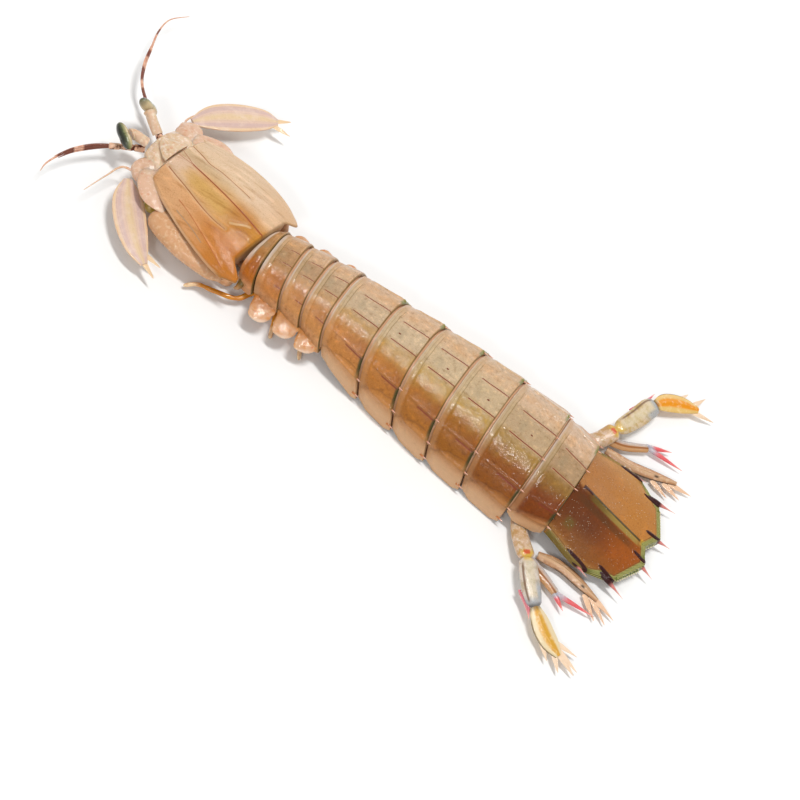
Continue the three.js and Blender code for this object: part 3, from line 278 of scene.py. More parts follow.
def strands(shape, starts, tips, count, radius, fan, lift, curve):
    """Tufts of thin bristles: count from each start, drawn together towards its tip"""
    for start, tip in zip(np.asarray(starts, float), np.asarray(tips, float)):
        heading = tip - start
        side = np.cross([0.0, 0.0, 1.0], heading)
        side /= np.linalg.norm(side)
        length = np.linalg.norm(heading)
        web = [start - heading * 0.08, start + heading * 0.45 + [0, 0, lift * 0.5], start + heading * 0.97]
        web_wide = [fan * 1.1, fan * min(1.2, length / 3), fan * 0.7, 0.05]
        tube(shape, web, web_wide, [0.1, 0.1, 0.08, 0.04], 12, 24, (0, 0), tuft=1.0)
        for k in range(count):
            spot = (k + 0.5) / count * 2 - 1
            root = start + side * spot * fan * rng.uniform(0.9, 1.1)
            end = start + heading * rng.uniform(0.72, 1.0) + side * spot * fan * rng.uniform(0.05, 0.3)
            end[2] += rng.uniform(-0.1, 0.1)
            middle = (root + end) / 2 + side * spot * curve + np.array([0, 0, lift * rng.uniform(0.4, 1)])
            thick = [radius, radius * 0.9, radius * 0.2]
            tube(shape, [root, middle, end], thick, thick, 5, 9, (0, 0), tuft=1.0)


# Body axis and the cross planes of the somites
def build_somites():
    somites = {}
    x = y = plane = 0.0
    names = list(LENGTHS)
    for name, ahead in zip(names, names[1:] + ["carapace"]):
        heading = math.radians(HEADINGS.get(name, 0))
        front_plane = math.radians(FRONT_PLANES.get(name, 0))
        length = LENGTHS[name]
        rear = np.array([x, y, plane, *REARS[name]])
        x += length * math.cos(heading)
        y += length * math.sin(heading)
        plane = front_plane
        somites[name] = (rear, np.array([x, y, plane, *REARS[ahead]]), length)
    return somites, np.array([x, y, 0])


SOMITES, HEAD_ORIGIN = build_somites()


def shifted(station, ahead):
    moved = station.copy()
    moved[0] += ahead * math.cos(station[2])
    moved[1] += ahead * math.sin(station[2])
    return moved


def station_of(name, ahead):
    rear, front, length = SOMITES[name]
    return mix(rear, front, ahead / length)


def on_station(station, y, z):
    x0, y0, heading, _, top, _, sweep = station
    swept = sweep * (top - z)
    return np.stack([
        x0 - y * math.sin(heading) - swept * math.cos(heading),
        y0 + y * math.cos(heading) - swept * math.sin(heading), z + 0 * y,
    ], -1)


ARCH_POWER = 2.5
KEELS = {"submedian": 0.21, "intermediate": 0.72, "lateral": 0.93}


def arch_height(f):
    return (1 - np.abs(f) ** ARCH_POWER) ** (1 / ARCH_POWER)


def arch_stops():
    """Places round the arch, as fractions of the half width, closer together at the keels"""
    even = np.sin(np.linspace(0, np.pi / 2, 56)) ** 0.85
    steps = (-0.03, -0.02, -0.012, -0.006, 0, 0.006, 0.012, 0.02, 0.03)
    near = [keel + step for keel in KEELS.values() for step in steps]
    stops = np.unique(np.round(np.concatenate([even, near, [0.985, 0.995]]), 4))
    return stops[(stops >= 0) & (stops <= 1)]


STOPS = arch_stops()
SIGNED = np.concatenate([STOPS[::-1], -STOPS[1:]])
KEEL_WIDTH = 0.016


def plate_ring(station, inset, lift, low, belly=BELLY, tuck=0.0):
    """Ring of a plate across the body: arch from left foot to right foot, then the inner wall"""
    x0, y0, heading, half, top, base, sweep = station
    half = half - inset
    rise = top - inset - base
    foot = max(low, base)
    reach = float(arch_height(min(1.0, (foot - base) / rise)))
    f = SIGNED * reach
    z = arch_height(np.clip(f, -1, 1))
    slope = np.arctan2(np.abs(f) ** 1.5 / half, z ** 1.5 / rise)
    ys = (half - tuck * smooth(0.72, 1.0, np.abs(f))) * f + lift * np.sin(slope) * np.sign(f)
    zs = np.maximum(base + rise * z + lift * np.cos(slope), foot)
    foot_y = (half - tuck) * reach
    wall_top = max(foot, belly)
    inner = np.array([[0.9 - foot_y, foot], [1.4 - foot_y, mix(foot, wall_top, 0.4)],
                      [2.6 - foot_y, wall_top]])
    ceiling = np.linspace(-(foot_y - 4), foot_y - 4, 12)
    inside_y = np.concatenate([inner[:, 0], ceiling, -inner[::-1, 0]])
    inside_z = np.concatenate([inner[:, 1], np.full(12, wall_top), inner[::-1, 1]])
    return on_station(station, np.concatenate([ys, inside_y]), np.concatenate([zs, inside_z]))


INSIDE_COUNT = 18
BAND = 2.1
LIP = 0.6
SOCKET = 1.3


def keel_lift(behind, length, keel, names):
    """Height of the keels round the arch at a distance behind the front of the plate"""
    start = min(3.4, length * 0.3)
    grown = keel * smooth(start - 0.6, start + 1.0, behind) * (0.6 + 0.4 * behind / length)
    lift = 0 * SIGNED
    for name in names:
        lift = np.maximum(lift, bell(np.abs(SIGNED) - KEELS[name], KEEL_WIDTH))
    return lift * grown


def plate(shape, name, keel=0.42, keels=("submedian", "intermediate", "lateral"), neck=True, socket=True,
          steps=44):
    """Shell plate of one somite, from the neck under the plate ahead to the lip of its rear margin"""
    rear, front, length = SOMITES[name]
    foot = rear[5]
    inner = BELLY + LIP
    rings = []
    ahead = []
    hidden = []

    def put(ring, place, unseen=0.0):
        rings.append(ring)
        ahead.append(place)
        hidden.append(unseen)

    flat = 0 * SIGNED
    if neck:
        for shift in (0.9, 0.2, -0.3):
            neck_ring = plate_ring(shifted(front, shift), LIP + 0.35, flat, inner + 0.35, inner + 0.35)
            put(neck_ring, length + shift, 1.0)
    start = 0.62 if neck else 0.3
    band = min(BAND, length * 0.28)
    for t in np.linspace(0, 1, steps) ** 0.9:
        behind = mix(start, length, t)
        place = length - behind
        edge = foot + 1.4 * (1 - smooth(0, 0.3 * length, behind))
        edge += 0.7 * smooth(0.72 * length, length, behind) ** 2
        inset = mix(0.28, 0.2, smooth(start, band, behind))
        inset = mix(inset, 0.08, smooth(band + 0.1, band + 1.0, behind))
        inset += 0.1 * bell(behind - band - 0.1, 0.16)
        inset -= 0.24 * smooth(0.45 * length, length, behind)
        inset += 0.08 * bell(place - 0.75, 0.25)
        inset += 0.2 * smooth(0.35, 0.0, place)
        tuck = 0.5 * (1 - smooth(0, 0.5 * length, behind)) + 0.2 * smooth(0.8 * length, length, behind)
        lift = keel_lift(behind, length, keel, keels)
        put(plate_ring(station_of(name, place), inset, lift, edge, tuck=tuck), place)
    edge = foot + 0.7
    put(plate_ring(shifted(rear, -0.1), 0.14, flat, edge, tuck=0.3), -0.1)
    put(plate_ring(shifted(rear, -0.04), 0.4, flat, edge + 0.2, tuck=0.3), -0.02)
    if socket:
        put(plate_ring(rear, LIP, flat, inner, inner), 0.0, 1.0)
        put(plate_ring(shifted(rear, SOCKET), LIP, flat, inner, inner), SOCKET, 1.0)
    across = np.concatenate([SIGNED, np.zeros(INSIDE_COUNT)])
    inside = np.concatenate([0 * SIGNED, np.ones(INSIDE_COUNT)])
    loft(shape, rings, ahead=np.array(ahead)[:, None], across=across[None, :],
         inside=np.maximum(inside[None, :], np.array(hidden)[:, None]))


def margin_spines(shape, name, fractions):
    rear = SOMITES[name][0]
    for f in fractions:
        for side in (1, -1):
            z = rear[5] + (rear[4] - rear[5]) * arch_height(f)
            y = side * rear[3] * f
            root = on_station(shifted(rear, 0.9), np.array(y * (1 - 0.1 / rear[3])), np.array(z - 0.05))
            tip = on_station(shifted(rear, -1.25), np.array(y * (1 + 0.2 / rear[3])),
                             np.array(z + 0.2 * (1 - f)))
            spike(shape, root, tip, 0.28, ahead=9.0, across=side * f, spine=1.0)


def side_lobe(shape, name, side, reach, forward):
    station = station_of(name, LENGTHS[name] * 0.52)
    share = 1.0 if side > 0 else RIGHT_REACH
    reach *= share
    forward *= share

    def out(distance, ahead, z):
        return on_station(shifted(station, ahead), np.array(side * (station[3] + distance)), np.array(z))

    route = [out(-1.8, 0, 5.6), out(reach * 0.45, forward * 0.4, 5.6), out(reach + 0.5, forward, 5.1)]
    tube(shape, route, [3.0, 3.0, 2.2], [0.8, 0.5, 0.2], 36, 40, (0, 0.3), lobe=1.0, across=side * 0.7,
         ahead=3.0, section=lambda t, a: 1 + 0.09 * np.sin(3 * a + 5 * t) + 0.05 * np.sin(7 * a - 11 * t))


MARGINAL = 0.995
SPINED = {
    "abdomen_1": (0.93, MARGINAL), "abdomen_2": (0.72, 0.93, MARGINAL), "abdomen_3": (0.72, 0.93, MARGINAL),
    "abdomen_4": (0.72, 0.93, MARGINAL), "abdomen_5": (0.21, 0.72, 0.93, MARGINAL),
    "abdomen_6": (0.21, 0.72, 0.93),
}
RIGHT_REACH = 0.4
LOBES = {"thorax_6": (4.4, -1.6), "thorax_7": (3.9, -1.6), "thorax_8": (2.8, -1.4)}


def body_to_row(points):
    return (points + BODY_AT) * MM


def head_to_row(points):
    cos, sin = math.cos(HEAD_HEADING), math.sin(HEAD_HEADING)
    u, v, z = points.T
    turned = np.stack([u * cos - v * sin, u * sin + v * cos, z], -1)
    return body_to_row(turned + HEAD_ORIGIN)


def make(name, shape, material, nodes, head=False, angle=38):
    """Blender object of a shape, in the place of the CAD nodes"""
    points = np.concatenate(shape.points)
    points = head_to_row(points) if head else body_to_row(points)
    mesh = bpy.data.meshes.new(name)
    mesh.vertices.add(len(points))
    mesh.vertices.foreach_set("co", points.astype(np.float32).ravel())
    sizes = np.concatenate([np.full(len(f), f.shape[1]) for f in shape.faces])
    corners = np.concatenate([f.ravel() for f in shape.faces])
    mesh.loops.add(len(corners))
    mesh.loops.foreach_set("vertex_index", corners.astype(np.int32))
    mesh.polygons.add(len(sizes))
    mesh.polygons.foreach_set("loop_start", np.concatenate([[0], np.cumsum(sizes)[:-1]]).astype(np.int32))
    mesh.update(calc_edges=True)
    for field in shape.field_names():
        values = mesh.attributes.new(field, "FLOAT", "POINT")
        values.data.foreach_set("value", shape.field(field).astype(np.float32))
    mesh.materials.append(material)
    mesh.polygons.foreach_set("use_smooth", np.ones(len(sizes), bool))
    mesh.set_sharp_from_angle(angle=math.radians(angle))
    piece = bpy.data.objects.new(name, mesh)
    bpy.context.collection.objects.link(piece)
    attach(piece, "root")
    if nodes:
        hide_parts(*nodes)
    return piece


def tint(code):
    """Linear colour of a hex code"""
    parts = [int(code[i:i + 2], 16) / 255 for i in (0, 2, 4)]
    return tuple(p / 12.92 if p <= 0.04045 else ((p + 0.055) / 1.055) ** 2.4 for p in parts) + (1.0,)


# Relief of the water film on every shell, and the share that the ripples of a wet place add to it
FILM_STRENGTH = 0.36
FILM_DEPTH = 0.4
WET_RELIEF = 3.0
RIPPLE_STRETCH = 0.3


class Finish:
    """Node material under construction, with its colour so far; methods take numbers, colours or sockets"""

    def __init__(self, name):
        self.material = bpy.data.materials.new(name)
        self.material.use_nodes = True
        self.tree = self.material.node_tree
        self.tree.nodes.clear()
        self.colour = None
        coordinates = self.tree.nodes.new("ShaderNodeTexCoord")
        self.place = self.node("ShaderNodeVectorMath", [coordinates.outputs["Object"], None, None, 1 / MM],
                               operation="SCALE").outputs[0]

    def node(self, kind, inputs=(), **settings):
        made = self.tree.nodes.new(kind)
        for key, value in settings.items():
            setattr(made, key, value)
        pairs = inputs.items() if isinstance(inputs, dict) else enumerate(inputs)
        for key, value in pairs:
            if value is None:
                continue
            if isinstance(value, bpy.types.NodeSocket):
                self.tree.links.new(value, made.inputs[key])
            else:
                made.inputs[key].default_value = value
        return made

    def field(self, name):
        return self.node("ShaderNodeAttribute", attribute_name=name).outputs["Fac"]

    def math(self, operation, *values):
        return self.node("ShaderNodeMath", values, operation=operation).outputs[0]

    def joined(self, operation, result, *others):
        for value in others:
            result = self.math(operation, result, value)
        return result

    def add(self, *values):
        return self.joined("ADD", *values)

    def both(self, *values):
        return self.joined("MULTIPLY", *values)

    def less(self, a, b):
        return self.math("SUBTRACT", a, b)

    def size(self, value):
        return self.math("ABSOLUTE", value)

    def scaled(self, value, gain, offset):
        return self.math("MULTIPLY_ADD", value, gain, offset)

    def step(self, value, start, end):
        return self.node("ShaderNodeMapRange", {"Value": value, "From Min": start, "From Max": end},
                         interpolation_type="SMOOTHSTEP").outputs[0]

    def fall(self, value, start, end):
        """1 up to the start, falling to 0 at the end"""
        return self.less(1.0, self.step(value, start, end))

    def near(self, value, at, half, soft):
        """1 where a value is within half of a place, falling to 0 over soft"""
        return self.fall(self.size(self.less(value, at)), half - soft / 2, half + soft / 2)

    def noise(self, scale, detail=3.0, roughness=0.55, stretch=None):
        place = self.place
        if stretch:
            place = self.node("ShaderNodeVectorMath", [place, stretch], operation="MULTIPLY").outputs[0]
        return self.noise_at(place, scale, detail, roughness)

    def noise_at(self, place, scale, detail, roughness=0.55):
        return self.node("ShaderNodeTexNoise", {"Vector": place, "Scale": scale, "Detail": detail,
                                                "Roughness": roughness}).outputs["Fac"]

    def cells(self, scale):
        return self.node("ShaderNodeTexVoronoi", {"Vector": self.place, "Scale": scale}).outputs["Distance"]

    def ripples(self, across, along):
        """Relief of a water film drawn out along the second of two places in millimetres"""
        place = self.node("ShaderNodeCombineXYZ", [across, self.both(along, RIPPLE_STRETCH), 0.0])
        return self.noise_at(place.outputs[0], 1.1, 3.0)

    def mix(self, factor, a, b, blend="MIX"):
        a, b = (tint(colour) if isinstance(colour, str) else colour for colour in (a, b))
        made = self.node("ShaderNodeMix", {0: factor, 6: a, 7: b}, data_type="RGBA", blend_type=blend)
        return made.outputs[2]

    def paint(self, colour, *masks, blend="MIX"):
        """Lay a colour over those so far, as far as the product of the masks says"""
        self.colour = self.mix(self.both(*masks), self.colour, colour, blend)

    def stain(self, shade, *masks):
        """Multiply the colour so far by a shade, as far as the product of the masks says"""
        self.paint((*shade, 1), *masks, blend="MULTIPLY")

    def finish(self, height, roughness, bump=0.25, depth=0.1, subsurface=0.25, coat=0.5, wet=None,
               ripples=None):
        """Shader in the colour so far, with a bump of some depth in millimetres. All of it has a thin coat
        of water; where it is wet the coat is full, and its relief takes up the ripples"""
        bumped = self.node("ShaderNodeBump", {"Strength": bump, "Distance": depth * MM, "Height": height})
        waves = self.add(self.noise(0.8, 2), self.both(self.noise(2.4, 3), 0.5))
        if wet:
            waves = self.add(waves, self.both(ripples, wet, WET_RELIEF))
        film = self.node("ShaderNodeBump",
                         {"Strength": FILM_STRENGTH, "Distance": FILM_DEPTH * MM, "Height": waves})
        shader = self.node("ShaderNodeBsdfPrincipled", {
            "Base Color": self.colour, "Roughness": roughness, "Normal": bumped.outputs[0],
            "Coat Normal": film.outputs[0], "Subsurface Weight": subsurface, "Subsurface Scale": 1.6 * MM,
            "Subsurface Radius": (1.0, 0.55, 0.32),
            "Coat Weight": self.scaled(wet, 1 - coat, coat) if wet else coat,
            "Coat Roughness": 0.08, "IOR": 1.45, "Specular IOR Level": 0.15,
        })
        return self.close(shader)

    def close(self, shader):
        output = self.node("ShaderNodeOutputMaterial")
        self.tree.links.new(shader.outputs[0], output.inputs[0])
        return self.material


# Colours along the body at five places from the first thoracic plate to the last abdominal one: the strip
# between the submedian lines, beside it on the left, the left flank, the right side and its lower edge
PLATE_COLOURS = {
    "strip": ("a87a4c", "ac8c6c", "c0a88a", "bea684", "a88a68"),
    "near": ("a06c34", "ba926a", "b08a52", "a88438", "8c662c"),
    "flank": ("b0641a", "c48a52", "b87632", "985c12", "763804"),
    "right": ("b98d60", "c4a07e", "c8a482", "c3a380", "c9a98c"),
    "edge": ("cba280", "cfa688", "c79f7c", "c39a78", "c39a80"),
}
# Where the submedian lines start ahead of the rear margin, and where the middle dot lies
LINE_STARTS = {
    "thorax_6": 2.5, "thorax_7": 3.2, "thorax_8": 3.7, "abdomen_1": 7.5, "abdomen_2": 7.4,
    "abdomen_3": 7.9, "abdomen_4": 7.9, "abdomen_5": 10.1, "abdomen_6": 7.2,
}
OLIVE = ("abdomen_2", "abdomen_3", "abdomen_4", "abdomen_5")
DOTS = {"abdomen_2": 6.4, "abdomen_3": 3.8, "abdomen_4": 3.7, "abdomen_5": 5.0}
# Short line on each flank: its place round the arch, and its length as a share of the submedian line's
FLANK_LINE = 0.75
FLANK_LINE_SHARE = 0.7
# Plates whose sides are wetter than the others
LEFT_WET = dict.fromkeys(("thorax_5", "thorax_6", "thorax_7", "thorax_8", "abdomen_1"), 1.0)
RIGHT_WET = dict.fromkeys(("abdomen_5", "abdomen_6"), 1.0)


def along_body(key, place):
    """Linear colour of a part of the plates, at a place from 0 at the first plate to 1 at the last"""
    colours = np.array([tint(code) for code in PLATE_COLOURS[key]])
    return tuple(np.interp(place, np.linspace(0, 1, len(colours)), channel) for channel in colours.T)


def paint_ground(look, name, across, behind, blotch):
    """Colours of the parts of a plate, each running into the next along a wandering edge"""
    place = 1 - list(LENGTHS).index(name) / 9
    strip, near, flank, right, edge = (along_body(key, place) for key in PLATE_COLOURS)
    length = LENGTHS[name]
    wandering = look.add(across, look.scaled(blotch, 0.24, -0.12))
    rearward = look.step(behind, length * 0.25, length)
    look.colour = look.mix(look.step(wandering, 0.12, 0.36), strip, near)
    reddish = look.step(wandering, 0.32, 0.68)
    look.paint(flank, reddish)
    look.paint("7d3c12", reddish, rearward, look.near(across, 0.64, 0.16, 0.16), 0.4)
    look.paint(right, look.step(wandering, -0.12, -0.4))
    look.paint(edge, look.step(across, -0.8, -0.99))
    look.paint("cc9a70", look.step(across, 0.9, 1.0), 0.7)
    look.paint("c49055", look.near(across, -0.45, 0.12, 0.16), look.step(blotch, 0.38, 0.62), 0.4)
    look.paint("97886a", look.near(across, 0.0, 0.1, 0.1), look.near(behind, length * 0.45, 0.9, 1.6), 0.35)


def paint_front(look, name, reach, behind, blotch):
    """Band that slides under the plate ahead, the membrane at its edge and the fine creases behind it"""
    band = min(BAND, LENGTHS[name] * 0.28)
    band_colour = look.mix(look.step(reach, 0.3, 0.8), "b59c76", "b98a5e")
    look.paint(band_colour, look.fall(behind, band - 0.5, band + 0.5), 0.4)
    look.paint("cdbbae", look.step(behind, 1.3, 0.7), look.step(reach, 0.8, 0.5),
               0.3 if name in OLIVE else 0.65)
    upper = look.fall(reach, 0.4, 0.56)
    for offset, half, strength in ((0.37, 0.09, 0.6), (-0.35, 0.06, 0.4), (-0.9, 0.05, 0.3)):
        line = look.near(look.add(behind, look.both(blotch, 0.5)), band + offset, half, 0.14)
        look.paint("7a6228", line, upper, strength)


def paint_lines(look, name, ahead, reach):
    """Dark submedian lines with a pale halo, and shorter lines on the flanks"""
    start = LINE_STARTS[name]
    submedian = look.fall(ahead, start - 0.15, start + 0.15)
    look.paint("d9b088", look.near(reach, KEELS["submedian"], 0.02, 0.02), submedian, 0.35)
    look.paint("7c3018", look.near(reach, KEELS["submedian"], 0.009, 0.007), submedian, 0.92)
    flank_start = start * FLANK_LINE_SHARE
    flank = look.fall(ahead, flank_start - 0.3, flank_start + 0.3)
    look.paint("7c3018", look.near(reach, FLANK_LINE, 0.009, 0.007), flank, 0.85)


def paint_dot(look, name, ahead, across, fine):
    """Small dark dot near the middle, with a ragged edge"""
    forward = look.less(ahead, DOTS[name])
    aside = look.both(look.less(across, 0.03), REARS[name][0] * 1.4)
    away = look.math("SQRT", look.add(look.math("POWER", forward, 2.0), look.math("POWER", aside, 2.0)))
    look.paint("6b2c18", look.fall(look.add(away, look.scaled(fine, 0.5, -0.25)), 0.22, 0.42))


def paint_rear_margin_and_seam_shade(look, abdomen, ahead, across):
    """Dark rear margin, partly its own dark colour and partly painted shade of the seam under the rear edge,
    with olive patches on the abdomen
    """
    # The dark rim on the rear wall and lip is partly the margin's own colour and partly painted shade of the
    # seam
    rim = look.mix(look.step(across, 0.3, 0.62), "836330", "4e4519")
    look.paint(rim, look.fall(ahead, 0.03, 0.2), 0.85)
    if abdomen:
        near_rear = look.fall(ahead, 0.25, 0.9)
        look.paint("343916", look.near(across, 0.84, 0.1, 0.07), near_rear, 0.9)
        look.paint("6d7326", look.near(across, -0.74, 0.15, 0.06), near_rear, 0.8)


def paint_lobes_and_spines(look):
    outward = look.field("along")
    lobe = look.mix(look.step(look.noise(0.7, 3), 0.4, 0.66), "d0a27c", "c88a50")
    lobe = look.mix(look.both(look.step(outward, 0.78, 0.96), 0.6), lobe, "ecd4c0")
    red = look.both(look.step(look.noise(0.9, 2), 0.58, 0.66), look.near(outward, 0.62, 0.05, 0.08))
    lobe = look.mix(look.both(red, 0.6), lobe, "c4431f")
    look.paint(lobe, look.field("lobe"), look.step(outward, 0.2, 0.6))
    look.paint(look.mix(look.step(outward, 0.3, 0.8), "b4703e", "f0b8a4"), look.field("spine"))


def plate_material(name):
    look = Finish(f"plate_{name}")
    abdomen = name.startswith("abdomen")
    length = LENGTHS[name]
    ahead = look.field("ahead")
    across = look.field("across")
    reach = look.size(across)
    behind = look.less(length, ahead)
    blotch = look.noise(0.35, 4)
    fine = look.noise(3.2, 4, 0.65)
    grain = look.noise(9.0, 3, 0.7)
    paint_ground(look, name, across, behind, blotch)
    drifts = look.noise(0.9, 4)
    look.stain((1.3, 1.28, 1.24), look.step(drifts, 0.5, 0.75))
    look.stain((0.72, 0.66, 0.56), look.step(drifts, 0.46, 0.25))
    look.stain((0.82, 0.76, 0.64), look.step(fine, 0.5, 0.72))
    look.stain((0.76, 0.7, 0.58), look.step(grain, 0.54, 0.7))
    paint_front(look, name, reach, behind, blotch)
    if name in LINE_STARTS:
        paint_lines(look, name, ahead, reach)
    if name in DOTS:
        paint_dot(look, name, ahead, across, fine)
    paint_rear_margin_and_seam_shade(look, abdomen, ahead, across)

    # Fold of the left flank, which the thoracic plates don't have, with painted shade along its crease
    folded = 1.0 if abdomen else 0.0
    onward = look.math("DIVIDE", ahead, length)
    fold = look.less(across, look.scaled(blotch, 0.06, look.scaled(look.both(onward, onward), 0.12, 0.86)))
    below = look.both(look.step(fold, -0.03, 0.04), folded)
    shaded_crease = look.both(look.near(fold, -0.02, 0.004, 0.03), folded)
    look.paint("c38a52", below, 0.45)
    look.paint("deba94", below, look.step(reach, 0.93, 1.0), 0.5)
    # The crease of the fold is painted darker: painted shade in the fold
    look.paint("6e4526", shaded_crease, 0.5)
    paint_lobes_and_spines(look)
    look.paint("cf9f7a", look.field("inside"))

    wrinkles = look.both(look.noise(0.9, 2, 0.5, stretch=(0.35, 1.0, 1.0)), look.step(across, 0.3, 0.55))
    height = look.add(look.noise(1.1, 3), look.both(fine, 0.45), look.both(grain, 0.16),
                      look.both(shaded_crease, -0.8),
                      look.both(wrinkles, 0.7 if abdomen else 1.6))
    left = look.both(look.near(across, 0.56, 0.22, 0.2), look.step(behind, 0.8, 1.5),
                     LEFT_WET.get(name, 0.4))
    right = look.both(look.near(across, -0.62, 0.16, 0.2), look.step(behind, 1.0, 2.5),
                      RIGHT_WET.get(name, 0.5))
    around = look.scaled(across, REARS[name][0], 31.0 * (1 - list(LENGTHS).index(name) / 9))
    return look.finish(height, look.scaled(look.noise(0.8, 2), 0.25, 0.24), bump=0.6, depth=0.26,
                       subsurface=0.12, coat=0.25, wet=look.math("MAXIMUM", left, right),
                       ripples=look.ripples(behind, around))


def build_plates():
    for name in LENGTHS:
        shape = Shape()
        first = name == "thorax_5"
        abdomen = name.startswith("abdomen")
        neck = abdomen or name in ("thorax_7", "thorax_8")
        keels = ("submedian", "intermediate", "lateral") if abdomen else ("submedian",)
        socket = name not in ("abdomen_6", "thorax_5")
        steps = max(16, int(LENGTHS[name] * 4))
        plate(shape, name, 0.0 if first else 0.4 if abdomen else 0.25, keels, neck, socket, steps)
        margin_spines(shape, name, SPINED.get(name, ()))
        for side in (1, -1):
            if name in LOBES:
                side_lobe(shape, name, side, *LOBES[name])
            if first:
                station = station_of(name, LENGTHS[name] * 0.6)
                route = [on_station(shifted(station, a), np.array(side * (station[3] + d)), np.array(z))
                         for d, a, z in ((-0.8, 0, 6.4), (1.0, 0.2, 5.8), (1.7, 1.0, 5.4))]
                tube(shape, route, [0.9, 0.7, 0.1], [0.6, 0.5, 0.1], 16, 20, (0, 0.1), lobe=0.5,
                     across=side * 0.98)
        make(f"shell_{name}", shape, plate_material(name), [name])


# Telson: columns of points back from the base, rows across; teeth and keels by back and side
TELSON_HALF = [13.9, 14.6, 15.4, 15.9, 15.2, 13.9, 12.6]
TELSON_TEETH = [
    ((8.0, 14.6, 3.9), (15.2, 16.2, 3.2), 0.9), ((15.8, 12.4, 3.5), (25.3, 14.5, 2.4), 1.05),
    ((21.0, 3.6, 3.9), (28.7, 5.1, 2.5), 1.1),
]
TELSON_KEELS = [[(7.2, 14.3), (14.2, 15.1)], [(15.8, 12.2), (21.4, 12.7)], [(20.8, 3.4), (25.4, 3.9)]]
DENTICLE_ROWS = [((21.6, 11.4), (24.6, 5.9), 10), ((24.4, 2.6), (23.3, 0.5), 4)]


def telson_rear(w):
    y = np.abs(w) * 12.6
    return np.where(y < 4.2, mix(23.2, 25.4, y / 4.2), mix(25.5, 21.2, (y - 4.2) / 8.4))


def build_telson():
    shape = Shape()
    s = np.sin(np.linspace(0, np.pi / 2, 110))[:, None] * np.ones((1, 181))
    w = np.sin(np.linspace(-np.pi / 2, np.pi / 2, 181))[None, :] * np.ones((110, 1))
    back = mix(TELSON_FRONT, telson_rear(w), s)
    half = spread(TELSON_HALF, s)
    y = half * w
    edge_gap = np.minimum((1 - np.abs(w)) * half, (1 - s) * telson_rear(w))
    bottom = mix(4.3, 2.0, s) - 0.4 * (1 - w * w) * (1 - s)
    crown = mix(10.2, 4.4, s ** 0.8)
    rim = mix(5.2, 2.8, s)
    top = mix(rim, crown, 1 - np.abs(w) ** 2.2)
    crest_ends = smooth(1.5, 3.5, back) * (1 - smooth(20.6, 21.8, back))
    crest = 0.9 * (1 - 0.4 * s) * bell(y - 0.5, 0.7) * crest_ends
    top = top + crest + 0.3 * bell(y, 1.8) * (1 - s)
    spot = np.full(s.shape, 9.0)
    for route in TELSON_KEELS:
        gap, t = to_line(back, np.abs(y), route)
        width = 0.6 * np.sqrt(np.maximum(1 - (2 * t - 1) ** 4, 0.08))
        spot = np.minimum(spot, gap / width)
        top = top + 0.45 * bell(gap, width * 0.9)
    top = top + 0.22 * bell(edge_gap - 0.45, 0.35)
    top = mix(bottom + 0.15, top, np.sqrt(smooth(-0.02, 0.5, edge_gap)))
    slab(shape, np.stack([-back, y, top], -1), np.stack([-back, y, bottom], -1),
         edge=edge_gap, back=back, side=y, spot=spot)
    for start, tip, radius in TELSON_TEETH:
        for side in (1, -1):
            middle = [mix(a, b, 0.55) for a, b in zip(start, tip)]
            route = [(-p, side * q, z) for p, q, z in (start, middle, tip)]
            wide = [radius * part for part in (0.4, 0.74, 0.76, 0.5, 0.26, 0.13, 0.03)]
            tube(shape, route, wide, [0.85 * w for w in wide], 20, 44, (0, 0), tooth=1.0)
    for start, end, count in DENTICLE_ROWS:
        for i in range(count):
            p, q = (mix(a, b, i / (count - 1)) for a, b in zip(start, end))
            for side in (1, -1):
                spike(shape, (-p + 0.7, side * q, 3.1), (-p - 0.55, side * q * 1.02, 2.9), 0.44,
                      denticle=1.0)
    make("telson_plate", shape, telson_material(), ["telson"])


